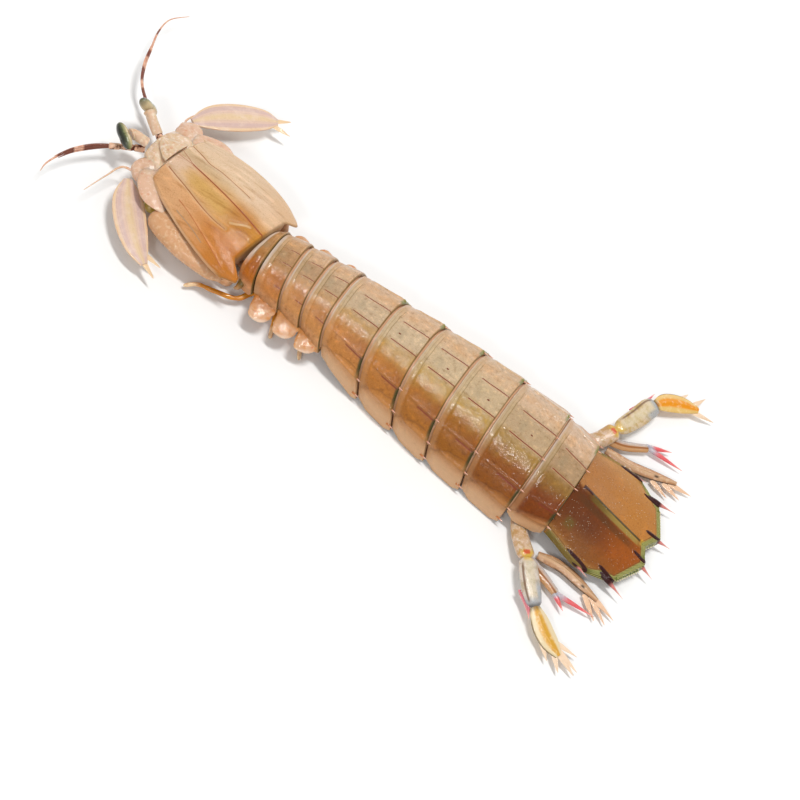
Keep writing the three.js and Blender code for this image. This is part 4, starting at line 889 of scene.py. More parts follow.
def telson_material():
    look = Finish("telson_shell")
    back = look.field("back")
    side = look.field("side")
    edge = look.field("edge")
    blotch = look.noise(0.3, 4)
    fine = look.noise(2.6, 4, 0.65)
    grain = look.noise(8.0, 3, 0.7)
    drift = look.scaled(blotch, 3.0, -1.5)
    left = look.step(look.add(side, drift), -0.6, 1.2)
    right_colour = look.mix(look.step(back, 2.0, 18.0), "a8703c", "b07434")
    left_colour = look.mix(look.step(back, 8.0, 20.0), "63300a", "944c0c")
    look.colour = look.mix(left, right_colour, left_colour)
    look.paint("87521f", look.step(side, 7.0, 13.0), 0.7)
    look.paint("bb8a54", look.step(side, -8.0, -14.0), 0.6)
    look.paint("b58648", look.step(edge, 2.6, 0.8), 0.5)
    look.stain((0.7, 0.62, 0.5), look.step(fine, 0.5, 0.72))
    look.stain((1.25, 1.2, 1.1), look.step(blotch, 0.5, 0.8))
    look.stain((1.35, 1.3, 1.2), look.step(grain, 0.56, 0.7))
    # Dark brown stripe left of the crest: partly its own brown colour, partly painted shade beside the crest
    look.paint("4f3010", look.near(side, 2.8, 0.9, 0.9), look.near(back, 11.0, 9.0, 6.0), 0.6)
    foot_colour = look.mix(look.step(back, 6.0, 15.0), "6b5a24", "a08a45")
    look.paint(foot_colour, look.near(side, 1.0, 0.5, 0.5), look.near(back, 13.0, 8.0, 3.0), 0.8)
    speckled = look.step(fine, 0.35, 0.55)
    for at, where in ((9.5, 4.0), (-14.0, 1.5), (15.2, 1.2)):
        look.paint("5c5a20", look.near(side, at, 1.2, 1.4), look.near(back, where, 1.2, 1.4), speckled, 0.6)
    look.paint("30361a", look.near(side, 0.1, 0.42, 0.3), look.near(back, 12.4, 8.6, 0.8), 0.95)
    look.paint("3a1613", look.near(side, 0.2, 0.55, 0.3), look.near(back, 3.4, 1.5, 0.5))
    look.paint("c79a34", look.near(side, 0.0, 0.8, 0.5), look.near(back, 21.8, 0.7, 0.6))
    # Pale granules, raised in the bump; their near-white colour is partly their own pale colour and partly a
    # painted glint
    glinting_granules = look.both(look.fall(look.cells(1.6), 0.08, 0.16), look.step(look.noise(0.22, 2), 0.4, 0.6))
    look.paint("f3e6cc", glinting_granules, 0.75)
    teeth_row = look.math("SINE", look.both(look.add(back, look.size(side)), 15.0))
    edge = look.less(edge, look.both(look.step(back, 14.0, 17.0), 0.8))
    green = look.both(look.fall(edge, 0.75, 1.1), look.step(back, 0.6, 1.2))
    notched = look.both(look.step(teeth_row, 0.0, 0.6), look.step(back, 14.0, 16.0))
    rim = look.mix(notched, "5c6128", "b3b06a")
    look.paint(rim, green, look.scaled(look.step(back, 12.0, 15.0), 0.35, 0.6))
    look.paint("33260f", look.near(edge, 1.15, 0.08, 0.12), 0.6)
    notch = look.step(look.size(look.less(side, 0.9)), 3.4, 3.0)
    look.paint("5d6425", notch, look.step(back, 23.0, 23.8), 0.6)
    spot = look.fall(look.field("spot"), 0.68, 0.86)
    body = look.less(1.0, look.math("MAXIMUM", look.field("tooth"), look.field("denticle")))
    look.paint("34100f", spot, body)
    tooth_colour = look.mix(look.step(look.field("along"), 0.42, 0.55), "34100f", "cf8078")
    tooth_colour = look.mix(look.step(look.field("along"), 0.6, 0.9), tooth_colour, "ecb8aa")
    look.paint(tooth_colour, look.field("tooth"))
    denticle_colour = look.mix(look.step(look.field("along"), 0.45, 0.8), "5e6a28", "f0e3bd")
    look.paint(denticle_colour, look.field("denticle"))
    height = look.add(look.noise(1.3, 3), look.both(glinting_granules, 1.2), look.both(fine, 0.5))
    roughness = look.scaled(look.noise(0.9, 2), 0.25, 0.22)
    wet = look.both(look.near(side, -2.6, 1.6, 1.6), look.near(back, 8.5, 5.5, 5.0))
    return look.finish(height, roughness, bump=0.6, depth=0.25, subsurface=0.06, coat=0.35,
                       wet=wet, ripples=look.ripples(side, back))


# Carapace, by s from its rear margin to its front and w from its right edge to its left
CARAPACE_LENGTH = 29.4
CARAPACE_HALF = [13.3, 14.1, 14.2, 13.9, 13.3, 12.4, 11.2, 9.4]
CARAPACE_TOP = [13.6, 14.0, 14.2, 14.1, 13.8, 13.3, 12.7, 11.9]
BODY_EDGE = 0.58
HEAD_BELLY = 6.8
MEDIAN = [(0.0, 0.0), (0.15, 0.0), (0.83, 0.0)]
FORKS = [[(0.83, 0.0), (0.99, 0.04)], [(0.83, 0.0), (0.99, -0.13)]]
LEFT_GROOVE = [(0.956, 0.452), (0.738, 0.449), (0.519, 0.472), (0.371, 0.466), (0.235, 0.425)]
RIGHT_GROOVE = [(0.989, -0.472), (0.762, -0.318), (0.663, -0.34), (0.497, -0.34), (0.327, -0.348)]
CERVICAL = [(0.249, 0.288), (0.215, 0.23), (0.188, 0.173), (0.15, 0.1), (0.121, 0.066)]
ORANGE_LINE = [(0.699, 0.735), (0.559, 0.737), (0.396, 0.785), (0.232, 0.848), (0.146, 0.891)]
GREY_LINE = [(0.675, 0.887), (0.506, 0.863), (0.375, 0.88)]
CARAPACE_LINES = {
    "median": [MEDIAN], "fork": FORKS, "groove": [LEFT_GROOVE, RIGHT_GROOVE], "cervical": [CERVICAL],
    "orange": [ORANGE_LINE], "grey": [GREY_LINE],
}


def carapace_rear(w):
    a = np.abs(w)
    lobe = smooth(0.62, 0.86, a) - smooth(0.88, 1, a) * 0.75
    return -np.where(w > 0, 4.4, 2.0) * lobe


def carapace_place(s, w):
    lean = mix(-0.4, 1.0, s) * w * w
    return mix(carapace_rear(w), CARAPACE_LENGTH - 0.6 * w * w, s), spread(CARAPACE_HALF, s) * w - lean


def carapace_top(s, w):
    return spread(CARAPACE_TOP, s) - mix(4.0, 3.0, s) * np.abs(w) ** 2.3


def in_mm(route):
    """Lines drawn by s and w, as places in the frame of the head"""
    fine = smooth_path([(s, w, 0) for s, w in route], 24)
    return np.stack(carapace_place(fine[:, 0], fine[:, 1]), -1)


def build_carapace():
    shape = Shape()
    rows, columns = 130, 221
    s = (0.5 - 0.5 * np.cos(np.linspace(0, np.pi, rows)))[:, None] * np.ones((1, columns))
    w = np.sin(np.linspace(-np.pi / 2, np.pi / 2, columns))[None, :] * np.ones((rows, 1))
    u, v = carapace_place(s, w)
    top = carapace_top(s, w)
    fields = {}
    for key, routes in CARAPACE_LINES.items():
        fields[key] = np.minimum.reduce([to_line(u, v, in_mm(route))[0] for route in routes])
    top = top - 0.38 * bell(fields["groove"], 0.5) + 0.22 * bell(fields["median"], 0.28)
    top = top - 0.3 * bell(fields["cervical"], 0.4) + 0.12 * bell(fields["fork"], 0.25)
    top = top + 0.14 * bell(fields["orange"], 0.35)
    edge_gap = np.minimum((1 - np.abs(w)) * spread(CARAPACE_HALF, s), np.minimum(s, 1 - s) * CARAPACE_LENGTH)
    top = top + 0.1 * bell(edge_gap - 0.5, 0.3)
    wing = mix(HEAD_BELLY, top - 0.55, smooth(BODY_EDGE, BODY_EDGE + 0.06, np.abs(w)))
    bottom = np.where(np.abs(w) < BODY_EDGE, HEAD_BELLY, wing)
    top = mix(np.maximum(bottom + 0.2, top - 0.6), top, np.sqrt(smooth(-0.02, 0.55, edge_gap)))
    slab(shape, np.stack([u, v, top], -1), np.stack([u, v, bottom], -1), edge=edge_gap, s=s, w=w, **fields)
    for side in (1, -1):
        u0, v0 = (float(q) for q in carapace_place(np.array(1.0), np.array(side * 0.94)))
        z = float(carapace_top(np.array(1.0), np.array(0.94))) - 0.5
        spike(shape, (u0 - 1, v0, z), (u0 + 1.5, v0 + side * 0.25, z - 0.3), 0.5, spine=1.0, w=side * 1.0,
              s=1.0, edge=2.0, **dict.fromkeys(CARAPACE_LINES, 9))
    make("shell_carapace", shape, carapace_material(), ["carapace"], head=True)


def carapace_material():
    look = Finish("carapace_shell")
    s = look.field("s")
    w = look.field("w")
    blotch = look.noise(0.28, 4)
    fine = look.noise(2.8, 4, 0.65)
    grain = look.noise(8.0, 3, 0.7)
    streaks = look.noise(0.9, 3, 0.6, stretch=(0.12, 0.8, 0.6))
    drift = look.scaled(blotch, 0.3, -0.15)
    warm = look.add(w, drift)
    forward = look.add(s, drift)
    strip = look.mix(look.step(forward, 0.08, 0.5), "bc7f2e", "cc9e66")
    strip = look.mix(look.step(forward, 0.6, 0.95), strip, "d2b296")
    flank = look.mix(look.step(forward, 0.15, 0.75), "bb7428", "d09e70")
    right = look.mix(look.step(forward, 0.05, 0.5), "cfaa84", "d6b898")
    look.colour = look.mix(look.step(warm, -0.3, 0.02), right, strip)
    look.paint(flank, look.step(warm, 0.4, 0.56))
    look.paint("b89c76", look.near(w, -0.16, 0.13, 0.1), look.step(s, 0.3, 0.7), 0.6)
    look.paint("c49a52", look.near(w, 0.22, 0.12, 0.12), look.near(s, 0.55, 0.25, 0.2), 0.65)
    look.paint("b36a1c", look.near(w, 0.62, 0.3, 0.3), look.fall(s, 0.05, 0.45), 0.7)
    look.paint("ac7030", look.near(w, 0.1, 0.22, 0.2), look.near(s, 0.22, 0.12, 0.14), 0.6)
    look.stain((1.18, 1.18, 1.2), look.step(streaks, 0.5, 0.75))
    look.stain((0.8, 0.72, 0.6), look.step(streaks, 0.48, 0.28))
    look.stain((0.82, 0.76, 0.66), look.step(fine, 0.5, 0.72))
    look.stain((0.74, 0.66, 0.54), look.step(grain, 0.56, 0.72))
    for field, code, half, soft, strength in (
        ("groove", "d2b088", 0.5, 0.5, 0.4), ("groove", "8f4a22", 0.12, 0.12, 0.8),
        ("fork", "985028", 0.1, 0.12, 0.7), ("median", "b4652f", 0.3, 0.3, 0.4),
        ("median", "85301a", 0.13, 0.12, 0.9), ("cervical", "e0c496", 0.3, 0.4, 0.4),
        ("orange", "a9542a", 0.09, 0.12, 0.65), ("grey", "8f8674", 0.1, 0.16, 0.6),
    ):
        look.paint(code, look.fall(look.field(field), half - soft / 2, half + soft / 2), strength)
    rim = look.fall(look.field("edge"), 0.1, 0.4)
    look.paint(look.mix(look.step(s, 0.02, 0.1), "8d6a3a", "d2b08c"), rim, 0.5)
    look.paint("cfa27c", look.field("under"))
    look.paint("dcb894", look.field("spine"))
    height = look.add(look.noise(0.9, 3), look.both(fine, 0.4), look.both(grain, 0.14))
    roughness = look.scaled(look.noise(0.7, 2), 0.25, 0.24)
    wet = look.both(look.near(w, -0.35, 0.3, 0.25), look.near(s, 0.22, 0.14, 0.14))
    return look.finish(height, roughness, bump=0.5, depth=0.22, subsurface=0.1, coat=0.3, wet=wet,
                       ripples=look.ripples(look.both(s, CARAPACE_LENGTH), look.both(w, CARAPACE_HALF[0])))


def flesh_material(name, base, shade, light, fine_scale=2.5, subsurface=0.4, coat=0.6, spots=None):
    """Pale translucent cuticle: base colour, darker and lighter drifts, fine specks and a wet coat"""
    look = Finish(name)
    blotch = look.noise(0.6, 4)
    fine = look.noise(fine_scale, 4, 0.65)
    look.colour = look.mix(look.step(blotch, 0.45, 0.8), base, shade)
    look.paint(light, look.step(look.noise(1.2, 3), 0.48, 0.7), 0.6)
    look.paint(shade, look.step(fine, 0.55, 0.75), 0.2)
    if spots:
        look.paint(spots, look.fall(look.cells(0.55), 0.1, 0.3), 0.35)
    roughness = look.scaled(look.noise(0.9, 2), 0.25, 0.22)
    height = look.add(look.noise(1.6, 3), look.both(fine, 0.3))
    return look.finish(height, roughness, bump=0.5, depth=0.2, subsurface=subsurface, coat=coat)


def build_head():
    pale = flesh_material("pale_cuticle", "d6b999", "c79e76", "f0e4d6", spots="c4683a")
    shape = Shape()
    start = CARAPACE_LENGTH + 0.3
    s = np.linspace(0, 1, 40)[:, None] * np.ones((1, 41))
    w = np.linspace(-1, 1, 41)[None, :] * np.ones((40, 1))
    u = mix(start, 35.0, s) - 0.8 * s * w * w
    v = 3.6 * (1 - 0.62 * s ** 1.6) * w
    top = mix(11.9, 11.0, s) - 0.8 * w * w + 0.2 * bell(v, 0.3) + 0.12 * bell((1 - np.abs(w)) * 3, 0.35)
    slab(shape, np.stack([u, v, top], -1), np.stack([u, v, mix(10.6, 10.2, s)], -1))
    make("rostral_shield", shape, pale, ["rostral_plate"], head=True)

    shape = Shape()
    tube(shape, [(start, -0.6, 7.9), (32.2, -0.6, 7.9), (34.6, -0.5, 7.5), (HEAD_END, -0.4, 7.2)],
         [6.6, 6.6, 6.0, 4.4], [2.3, 2.3, 2.1, 1.7], 72, 70, (0, 0.2),
         section=lambda t, a: 1 + 0.04 * np.sin(5 * a + 6 * t) + 0.02 * np.sin(9 * a - 14 * t))
    make("head_segments", shape, pale, ["head_front"], head=True)


HEAD_END = 36.2
EYES = {
    "L": ((HEAD_END + 0.6, 2.4, 8.2), (41.1, 6.3, 9.1), (40.1, 4.6), (0.92, -0.34, 0.06)),
    "R": ((HEAD_END + 1.1, -1.5, 8.2), (43.8, -3.8, 9.8), (42.2, -3.1), (0.4, 0.5, 0.77)),
}
CORNEA_HALF = 3.7
CORNEA_RADIUS = 1.45


def build_eyes():
    stalk_finish = flesh_material("eyestalk_cuticle", "d4b497", "bb9468", "ede0cc")
    for tag, (root, centre, end, axis) in EYES.items():
        centre = np.array(centre)
        axis = np.array(axis) / np.linalg.norm(axis)
        inward = np.array([*end, centre[2]]) - centre
        inward -= axis * (inward @ axis)
        inward /= np.linalg.norm(inward)
        stop = centre + inward * (CORNEA_RADIUS + 0.3)
        shape = Shape()
        tube(shape, [root, stop + inward * 0.7, stop], [1.3, 1.3, 1.6], [1.2], 32, 40, (0, 0.06),
             section=lambda t, a: 1 + 0.03 * np.sin(3 * a + 9 * t))
        make(f"eye_stalk_{tag}", shape, stalk_finish, [f"eyestalk_{tag}"], head=True)
        shape = Shape()
        side = np.cross([0, 0, 1.0], axis)
        side /= np.linalg.norm(side)
        up = np.cross(axis, side)
        t = np.sin(np.linspace(-np.pi / 2, np.pi / 2, 49))
        radius = CORNEA_RADIUS * np.sqrt(np.maximum(1 - np.abs(t) ** 2.6, 0.0009)) * (1 - 0.05 * bell(t,
                                                                                                      0.22))
        turn = np.linspace(0, 2 * np.pi, 48, endpoint=False)
        aside = side * (radius[:, None] * np.cos(turn))[..., None]
        above = up * (radius[:, None] * np.sin(turn))[..., None]
        rings = centre + axis * (t * CORNEA_HALF)[:, None, None] + aside + above
        outward = ((rings - centre) @ -inward) / CORNEA_RADIUS
        loft(shape, rings, axis=t[:, None], outward=outward)
        make(f"cornea_{tag}", shape, eye_material(tag), [f"eye_{tag}"], head=True)


def eye_material(tag):
    look = Finish(f"cornea_{tag}")
    outward = look.add(look.field("outward"), look.scaled(look.noise(0.7, 3), 0.4, -0.2))
    facets = look.cells(9.0)
    look.colour = look.mix(look.step(outward, -0.5, 0.05), "d2bd92", "8f8e5e")
    look.paint("4a5036", look.step(outward, 0.0, 0.35))
    look.paint("26281e", look.step(outward, 0.3, 0.7))
    look.paint("34372a", look.step(look.field("axis"), 0.5, 0.95), 0.6)
    look.paint("2b2d1c", look.near(look.field("axis"), 0.0, 0.03, 0.04), 0.4)
    look.paint("33361f", look.step(facets, 0.3, 0.7), 0.25)
    return look.finish(facets, look.scaled(look.noise(0.9, 2), 0.1, 0.14), bump=0.3, depth=0.03,
                       subsurface=0.1, coat=1.0)


ANTENNULES = {
    "L": ([(HEAD_END + 0.5, 2.6, 5.9), (39.4, 5.2, 5.4), (42.6, 9.2, 5.2)], [
        [(42.4, 8.9, 5.2), (44.7, 13.1, 5.3), (46.8, 19.0, 5.2), (47.3, 24.8, 4.8), (46.6, 27.2, 4.4)],
        [(42.9, 8.9, 5.3), (45.2, 13.0, 6.3), (47.2, 18.6, 6.4), (47.8, 23.2, 6.2)],
        [(42.2, 9.0, 5.1), (44.4, 13.2, 4.3), (46.3, 18.2, 4.1), (46.6, 21.0, 4.0)],
    ]),
    "R": ([(HEAD_END + 0.6, -2.6, 6.0), (41.6, -5.4, 4.9), (47.0, -7.5, 5.0)], [
        [(46.6, -7.3, 5.0), (51.1, -9.8, 5.4), (54.5, -13.2, 5.8), (57.5, -18.4, 6.0), (60.5, -23.9, 6.0),
         (61.7, -29.0, 5.6), (60.0, -34.6, 5.0)],
        [(46.8, -7.2, 5.1), (51.3, -9.5, 6.4), (54.8, -12.8, 6.9), (56.6, -15.6, 7.0)],
        [(46.6, -7.6, 4.9), (50.9, -10.0, 4.4), (54.0, -13.6, 4.7), (55.4, -16.2, 4.8)],
    ]),
}
ANTENNAE = {
    "L": ([(31.3, 6.15, 6.9), (31.9, 8.2, 6.5), (32.3, 10.35, 5.5)],
          [(32.9, 9.0, 6.0), (35.8, 11.0, 6.4), (36.3, 15.6, 6.0), (36.6, 22.5, 5.2)]),
    "R": ([(32.2, -7.8, 6.8), (34.0, -10.0, 6.4), (35.8, -12.35, 5.45)],
          [(35.6, -11.0, 5.4), (37.8, -13.0, 3.8), (37.6, -17.6, 3.2), (35.6, -24.0, 2.6)]),
}
# Brown stretches of the flagella, in millimetres from their base
BROWN = {"L": ((3.0, 3.4), (11.2, 2.4)), "R": ((1.8, 2.2), (8.0, 2.0), (14.5, 1.2), (22.0, 1.0))}


def feeler_material(tag):
    look = Finish(f"antennule_{tag}")
    distance = look.add(look.field("distance"), look.scaled(look.noise(0.6), 1.2, -0.6))
    look.colour = look.mix(look.step(look.noise(1.2, 3), 0.4, 0.65), "dcae94", "c98f76")
    for middle, half in BROWN[tag]:
        look.paint("6d362a", look.near(distance, middle, half, 0.8), 0.9)
    stem_colour = look.mix(look.step(look.noise(0.8, 3), 0.5, 0.58), "dfb497", "5f3022")
    look.paint(stem_colour, look.field("stem"))
    ring = look.math("SINE", look.both(look.field("distance"), 14.0))
    roughness = look.scaled(look.noise(1.5, 2), 0.2, 0.35)
    return look.finish(ring, roughness, bump=0.4, depth=0.06, subsurface=0.2, coat=0.3)


def build_feelers():
    pale = flesh_material("antenna_cuticle", "d6b094", "c49070", "e9d2bc", spots="c8622e")
    for tag, (stem, flagella) in ANTENNULES.items():
        shape = Shape()
        tube(shape, stem, [0.95, 0.9, 0.8, 0.85], [0.85, 0.8, 0.75, 0.8], 24, 60, (0, 0.06),
             swell=lambda t: 1 - 0.2 * bell(t - 0.36, 0.03) - 0.2 * bell(t - 0.7, 0.03), stem=1.0)
        for route in flagella:
            count = len(route)
            along_first = smooth_path(flagella[0],
                                      41)[np.linspace(0, 24 if count == 4 else 40, count).astype(int)]
            route = [mix(np.array(p), q, 0.55) if count == 4 else p for p, q in zip(route, along_first)]
            tube(shape, route, [0.4, 0.34, 0.24, 0.08], [0.36, 0.3, 0.22, 0.08], 14, 140, (0.02, 0.02),
                 swell=lambda t: 1 + 0.05 * np.sin(t * 260))
        make(f"feeler_{tag}", shape, feeler_material(tag), [f"antennule_{tag}"],
             head=True)
    for tag, (base, flagellum) in ANTENNAE.items():
        shape = Shape()
        side = 1 if tag == "L" else -1
        root, middle, end = base
        tube(shape, [(root[0] - 0.8, root[1] - side * 2.4, root[2] + 0.6), middle, end],
             [2.6, 3.4, 3.0, 1.8], [1.7, 1.8, 1.5, 1.0], 44, 60, (0.2, 0.25),
             section=lambda t, a: 1 + 0.04 * np.sin(4 * a + 7 * t) + 0.02 * np.sin(9 * a - 5 * t))
        flap = [(root[0] - 0.6, root[1] - side * 1.2, 7.4), (28.4, side * 8.8, 7.9),
                (24.6, side * 11.0, 8.2),
                (20.0, side * 12.4, 8.2)]
        tube(shape, flap, [2.4, 3.4, 3.2, 1.6], [1.4, 1.0, 0.8, 0.5], 44, 70, (0.2, 0.4),
             section=lambda t, a: 1 + 0.03 * np.sin(3 * a + 6 * t))
        tube(shape, flagellum, [0.34, 0.24, 0.08], [0.3, 0.22, 0.08], 14, 110, (0.02, 0.02),
             swell=lambda t: 1 + 0.05 * np.sin(t * 220))
        make(f"antenna_base_{tag}", shape, pale, [f"antenna_{tag}"], head=True)


SCALES = {
    "L": ([(32.9, 11.4, 4.9), (29.4, 14.6, 4.8), (23.8, 18.6, 4.6), (18.4, 21.6, 4.3), (13.6, 23.4, 4.0)],
          [(14.6, 23.0, 4.05), (15.6, 21.4, 4.1)], [(9.4, 23.9, 3.7), (10.6, 20.6, 3.8)]),
    "R": ([(36.2, -13.4, 4.9), (34.2, -18.9, 4.8), (30.6, -24.8, 4.6), (26.8, -30.0, 4.3),
           (24.4, -32.6, 4.0)],
          [(25.3, -31.8, 4.05), (24.0, -31.0, 4.1)], [(22.6, -36.0, 3.7), (19.6, -32.6, 3.8)]),
}
SCALE_HALF = [1.1, 2.7, 3.7, 4.0, 3.8, 3.2, 2.3, 0.9]


def scale_material():
    look = Finish("antennal_scale")
    reach = look.size(look.field("across"))
    blotch = look.noise(0.5, 4)
    streak = look.noise(2.2, 3, 0.6)
    look.colour = look.mix(look.step(reach, 0.08, 0.4), "d9bd98", "d6b8a6")
    look.paint("c2a6a4", look.near(reach, 0.58, 0.12, 0.14), 0.6)
    look.paint("97787a", look.near(reach, 0.74, 0.012, 0.02), 0.6)
    look.paint("b08f86", look.near(reach, 0.3, 0.01, 0.03), 0.4)
    look.paint("dfc09a", look.step(reach, 0.78, 0.88))
    look.paint("deae8e", look.step(reach, 0.93, 0.99), 0.6)
    look.paint("e2cab8", look.step(blotch, 0.45, 0.7), 0.45)
    look.paint("bd9a80", look.step(streak, 0.5, 0.72), 0.25)
    look.paint("e9c9a0", look.field("tuft"))
    return look.finish(streak, look.scaled(blotch, 0.2, 0.3), bump=0.4, depth=0.12,
                       subsurface=0.05, coat=0.4)


def build_scales():
    finish = scale_material()
    for tag, (route, starts, tips) in SCALES.items():
        shape = Shape()
        blade(shape, route, SCALE_HALF, SCALE_HALF, [0.5, 0.45, 0.3], 90, 41, 0.15)
        strands(shape, starts, tips, 16, 0.09, 0.55, 0.05, 0.1)
        make(f"scale_{tag}", shape, finish, [f"antennal_scale_{tag}"], head=True)


MERUS = [(-0.6, 11.3, 5.4), (2.0, 11.7, 5.9), (6.5, 12.2, 6.2), (11.5, 12.7, 6.3), (16.5, 12.8, 6.2),
         (20.2, 12.5, 5.8),
         (22.1, 12.1, 5.3)]
# The right merus lies this much closer to the middle
RIGHT_MERUS = 0.93
CARPUS = following(MERUS, [(24.9, 10.7, 4.0), (25.5, 9.2, 3.1)], 0.65)
PROPODUS = [(23.8, 8.4), (20, 8.2), (14, 8.0), (7, 7.9), (1, 7.8), (-2.0, 7.7)]
DACTYL = [(-3.0, 5.75), (-1.6, 2.6), (4, 1.75), (11, 1.6), (17, 1.9), (20.5, 3.0)]


def mirrored(points, side):
    return [(u, v * side, z) for u, v, z in points]


def build_claws():
    tan = flesh_material("claw_cuticle", "d09e74", "c4905f", "e0be9c", subsurface=0.2, coat=0.4)
    olive = flesh_material("carpus_cuticle", "ab8f3e", "7c6526", "cdb670", subsurface=0.2, coat=1.0)
    for tag, side in (("L", 1), ("R", -1)):
        shape = Shape()
        closer = RIGHT_MERUS if side < 0 else 1.0
        route = mirrored([(u, v * closer, z) for u, v, z in MERUS], side)
        tube(shape, route, [0.9, 2.7, 3.6, 4.1, 4.1, 3.5, 2.0], [0.8, 2.0, 2.6, 2.8, 2.8, 2.5, 1.5], 48, 80,
             (0.02, 0.08))
        make(f"merus_{tag}", shape, tan, [f"claw_merus_{tag}"], head=True)
        shape = Shape()
        tube(shape, mirrored(CARPUS, side), [1.7, 1.9, 1.4], [1.4, 1.6, 1.2], 36, 36, (0.25, 0.2))
        make(f"carpus_{tag}", shape, olive, [f"claw_carpus_{tag}"], head=True)
        shape = Shape()
        route = mirrored([(u, v, 1.5) for u, v in PROPODUS], side)
        tube(shape, route, [1.5, 2.4, 2.9, 2.9, 2.4, 1.4], [1.5], 40, 70, (0.05, 0.08))
        make(f"propodus_{tag}", shape, tan, [f"claw_propodus_{tag}"], head=True)
        shape = Shape()
        route = mirrored([(u, v, 1.5) for u, v in DACTYL], side)
        centres = tube(shape, route, [1.1, 1.0, 0.95, 0.85, 0.7, 0.12], [1.1, 1.0, 0.9, 0.8, 0.6, 0.12], 24,
                       73, (0.05, 0))
        for i in range(5):
            t = 0.36 + 0.12 * i
            at = centres[round(t * 72)]
            spike(shape, at + [0, side * 0.2, 0], at + [1.2, side * (0.75 + 2.1 * (0.75 + 0.25 * t)), 0],
                  0.6)
        make(f"dactyl_{tag}", shape, tan, [f"claw_dactyl_{tag}"], head=True)


def build_maxillipeds():
    pale = flesh_material("maxilliped_cuticle", "dcb898", "c4946e", "ecd6bc")
    for tag, side in (("L", 1), ("R", -1)):
        shape = Shape()
        tube(shape, mirrored([(3, 4.4, 6.0), (15.5, 4.4, 6.0)], side), [0.6], [0.45], 16, 20, (0.05, 0.05))
        for i in range(3):
            u = 4.2 + 4.6 * i
            tube(shape, mirrored([(u, 4.4, 5.9), (u + 2.4, 5.4, 5.0), (u + 5.6, 4.6, 4.6)], side),
                 [0.6, 0.6, 0.55], [0.45, 0.45, 0.4], 16, 30, (0.05, 0.05))
            tube(shape, mirrored([(u + 4.6, 4.3, 4.6), (u + 6.2, 3.9, 4.6), (u + 7.8, 3.7, 4.6)], side),
                 [1.3], [0.5], 20, 20, (0.45, 0.45))
        make(f"mouth_limbs_{tag}", shape, pale, [f"maxillipeds_{tag}"], head=True)


LEGS = {
    "walking_leg_1": [(1.2, 7.8, 3.0), (3.2, 11.2, 2.4), (8.6, 13.4, 2.3), (12.6, 14.4, 1.8),
                      (15.2, 16.6, 1.0)],
    "walking_leg_2": [(0.4, 7.2, 3.0), (-0.6, 10.4, 2.0), (-2.4, 14.2, 0.55)],
    "walking_leg_3": [(-0.4, 7.4, 3.0), (-1.8, 10.6, 2.0), (-4.2, 14.4, 0.55)],
}


def leg_material():
    look = Finish("leg_cuticle")
    along = look.field("along")
    blotch = look.noise(0.8, 4)
    look.colour = look.mix(look.step(along, 0.74, 0.84), "c9841f", "e3c49c")
    look.paint("a85a1c", look.step(blotch, 0.45, 0.7), 0.5)
    return look.finish(blotch, look.scaled(blotch, 0.2, 0.25), bump=0.4, depth=0.15,
                       subsurface=0.35, coat=0.7)


def build_legs():
    finish = leg_material()
    for (name, route), somite in zip(LEGS.items(), ("thorax_6", "thorax_7", "thorax_8")):
        middle = station_of(somite, 3)
        origin = station_of(somite, LENGTHS[somite] * 0.48)
        for tag, side in (("L", 1), ("R", -1)):
            def placed(points):
                return [(middle[0] + x, middle[1] + side * y, z) for x, y, z in points]
            start = on_station(origin, np.array(side * 4.2), np.array(BELLY)) - [0, 0, 1.0]
            shape = Shape()
            tube(shape, [start, *placed(route)], [0.85, 0.7, 0.6, 0.5], [0.7, 0.6, 0.5, 0.42], 20, 60,
                 (0.02, 0.06),
                 swell=lambda t: 1 - 0.2 * bell(t - 0.42, 0.03) - 0.2 * bell(t - 0.72, 0.03))
            if name != "walking_leg_1":
                x, y, z = route[0]
                tube(shape, placed([(x, y, z), (x + 1.6, y + 1.0, z - 0.9), (x + 3.0, y + 3.6, z - 2.0)]),
                     [0.4, 0.35, 0.3], [0.4, 0.3, 0.25], 14, 24, (0.02, 0.1))
            make(f"{name}_{tag}_limb", shape, finish, [f"{name}_{tag}"])


def build_pleopods():
    finish = flesh_material("pleopod_cuticle", "dcb49a", "c88c72", "ecd2c0", subsurface=0.5)
    for i in range(1, 6):
        name = f"abdomen_{i}"
        station = station_of(name, LENGTHS[name] * 0.72)
        start = on_station(station, np.array(0.0), np.array(BELLY))
        wide = station[3] / 16
        for tag, side in (("L", 1), ("R", -1)):
            def at(back, out, z):
                return (start[0] - back, start[1] + side * out * wide, z)
            shape = Shape()
            tube(shape, [at(-1.4, 6.4, 3.6), at(1.2, 6.6, 3.2)], [1.5, 1.8], [0.7, 0.6], 24, 20, (0, 0.2))
            outer = [at(0.4, 7.4, 3.2), at(4.5, 8.8, 2.2), at(9.4, 9.6, 1.1)]
            inner = [at(0.4, 5.4, 3.0), at(4.5, 4.0, 2.0), at(8.8, 3.4, 1.1)]
            for route, half in ((outer, [1.4, 2.6, 2.6, 1.0]), (inner, [1.2, 1.9, 1.8, 0.8])):
                tube(shape, route, half, [0.5, 0.4, 0.35], 28, 40, (0.1, 0.15))
            for k in range(9):
                b = 0.4 + 0.36 * k
                out = 8.0 + 0.14 * k
                tube(shape, [at(b, out, 2.9), at(b + 0.8, out + 1.4, 2.6),
                             at(b + 1.2, out + 2.4 - 0.1 * k, 1.5)],
                     [0.16, 0.14, 0.05], [0.16, 0.14, 0.05], 8, 14, (0, 0.05))
            make(f"swimmeret_{i}_{tag}", shape, finish, [f"pleopod_{i}_{tag}"])


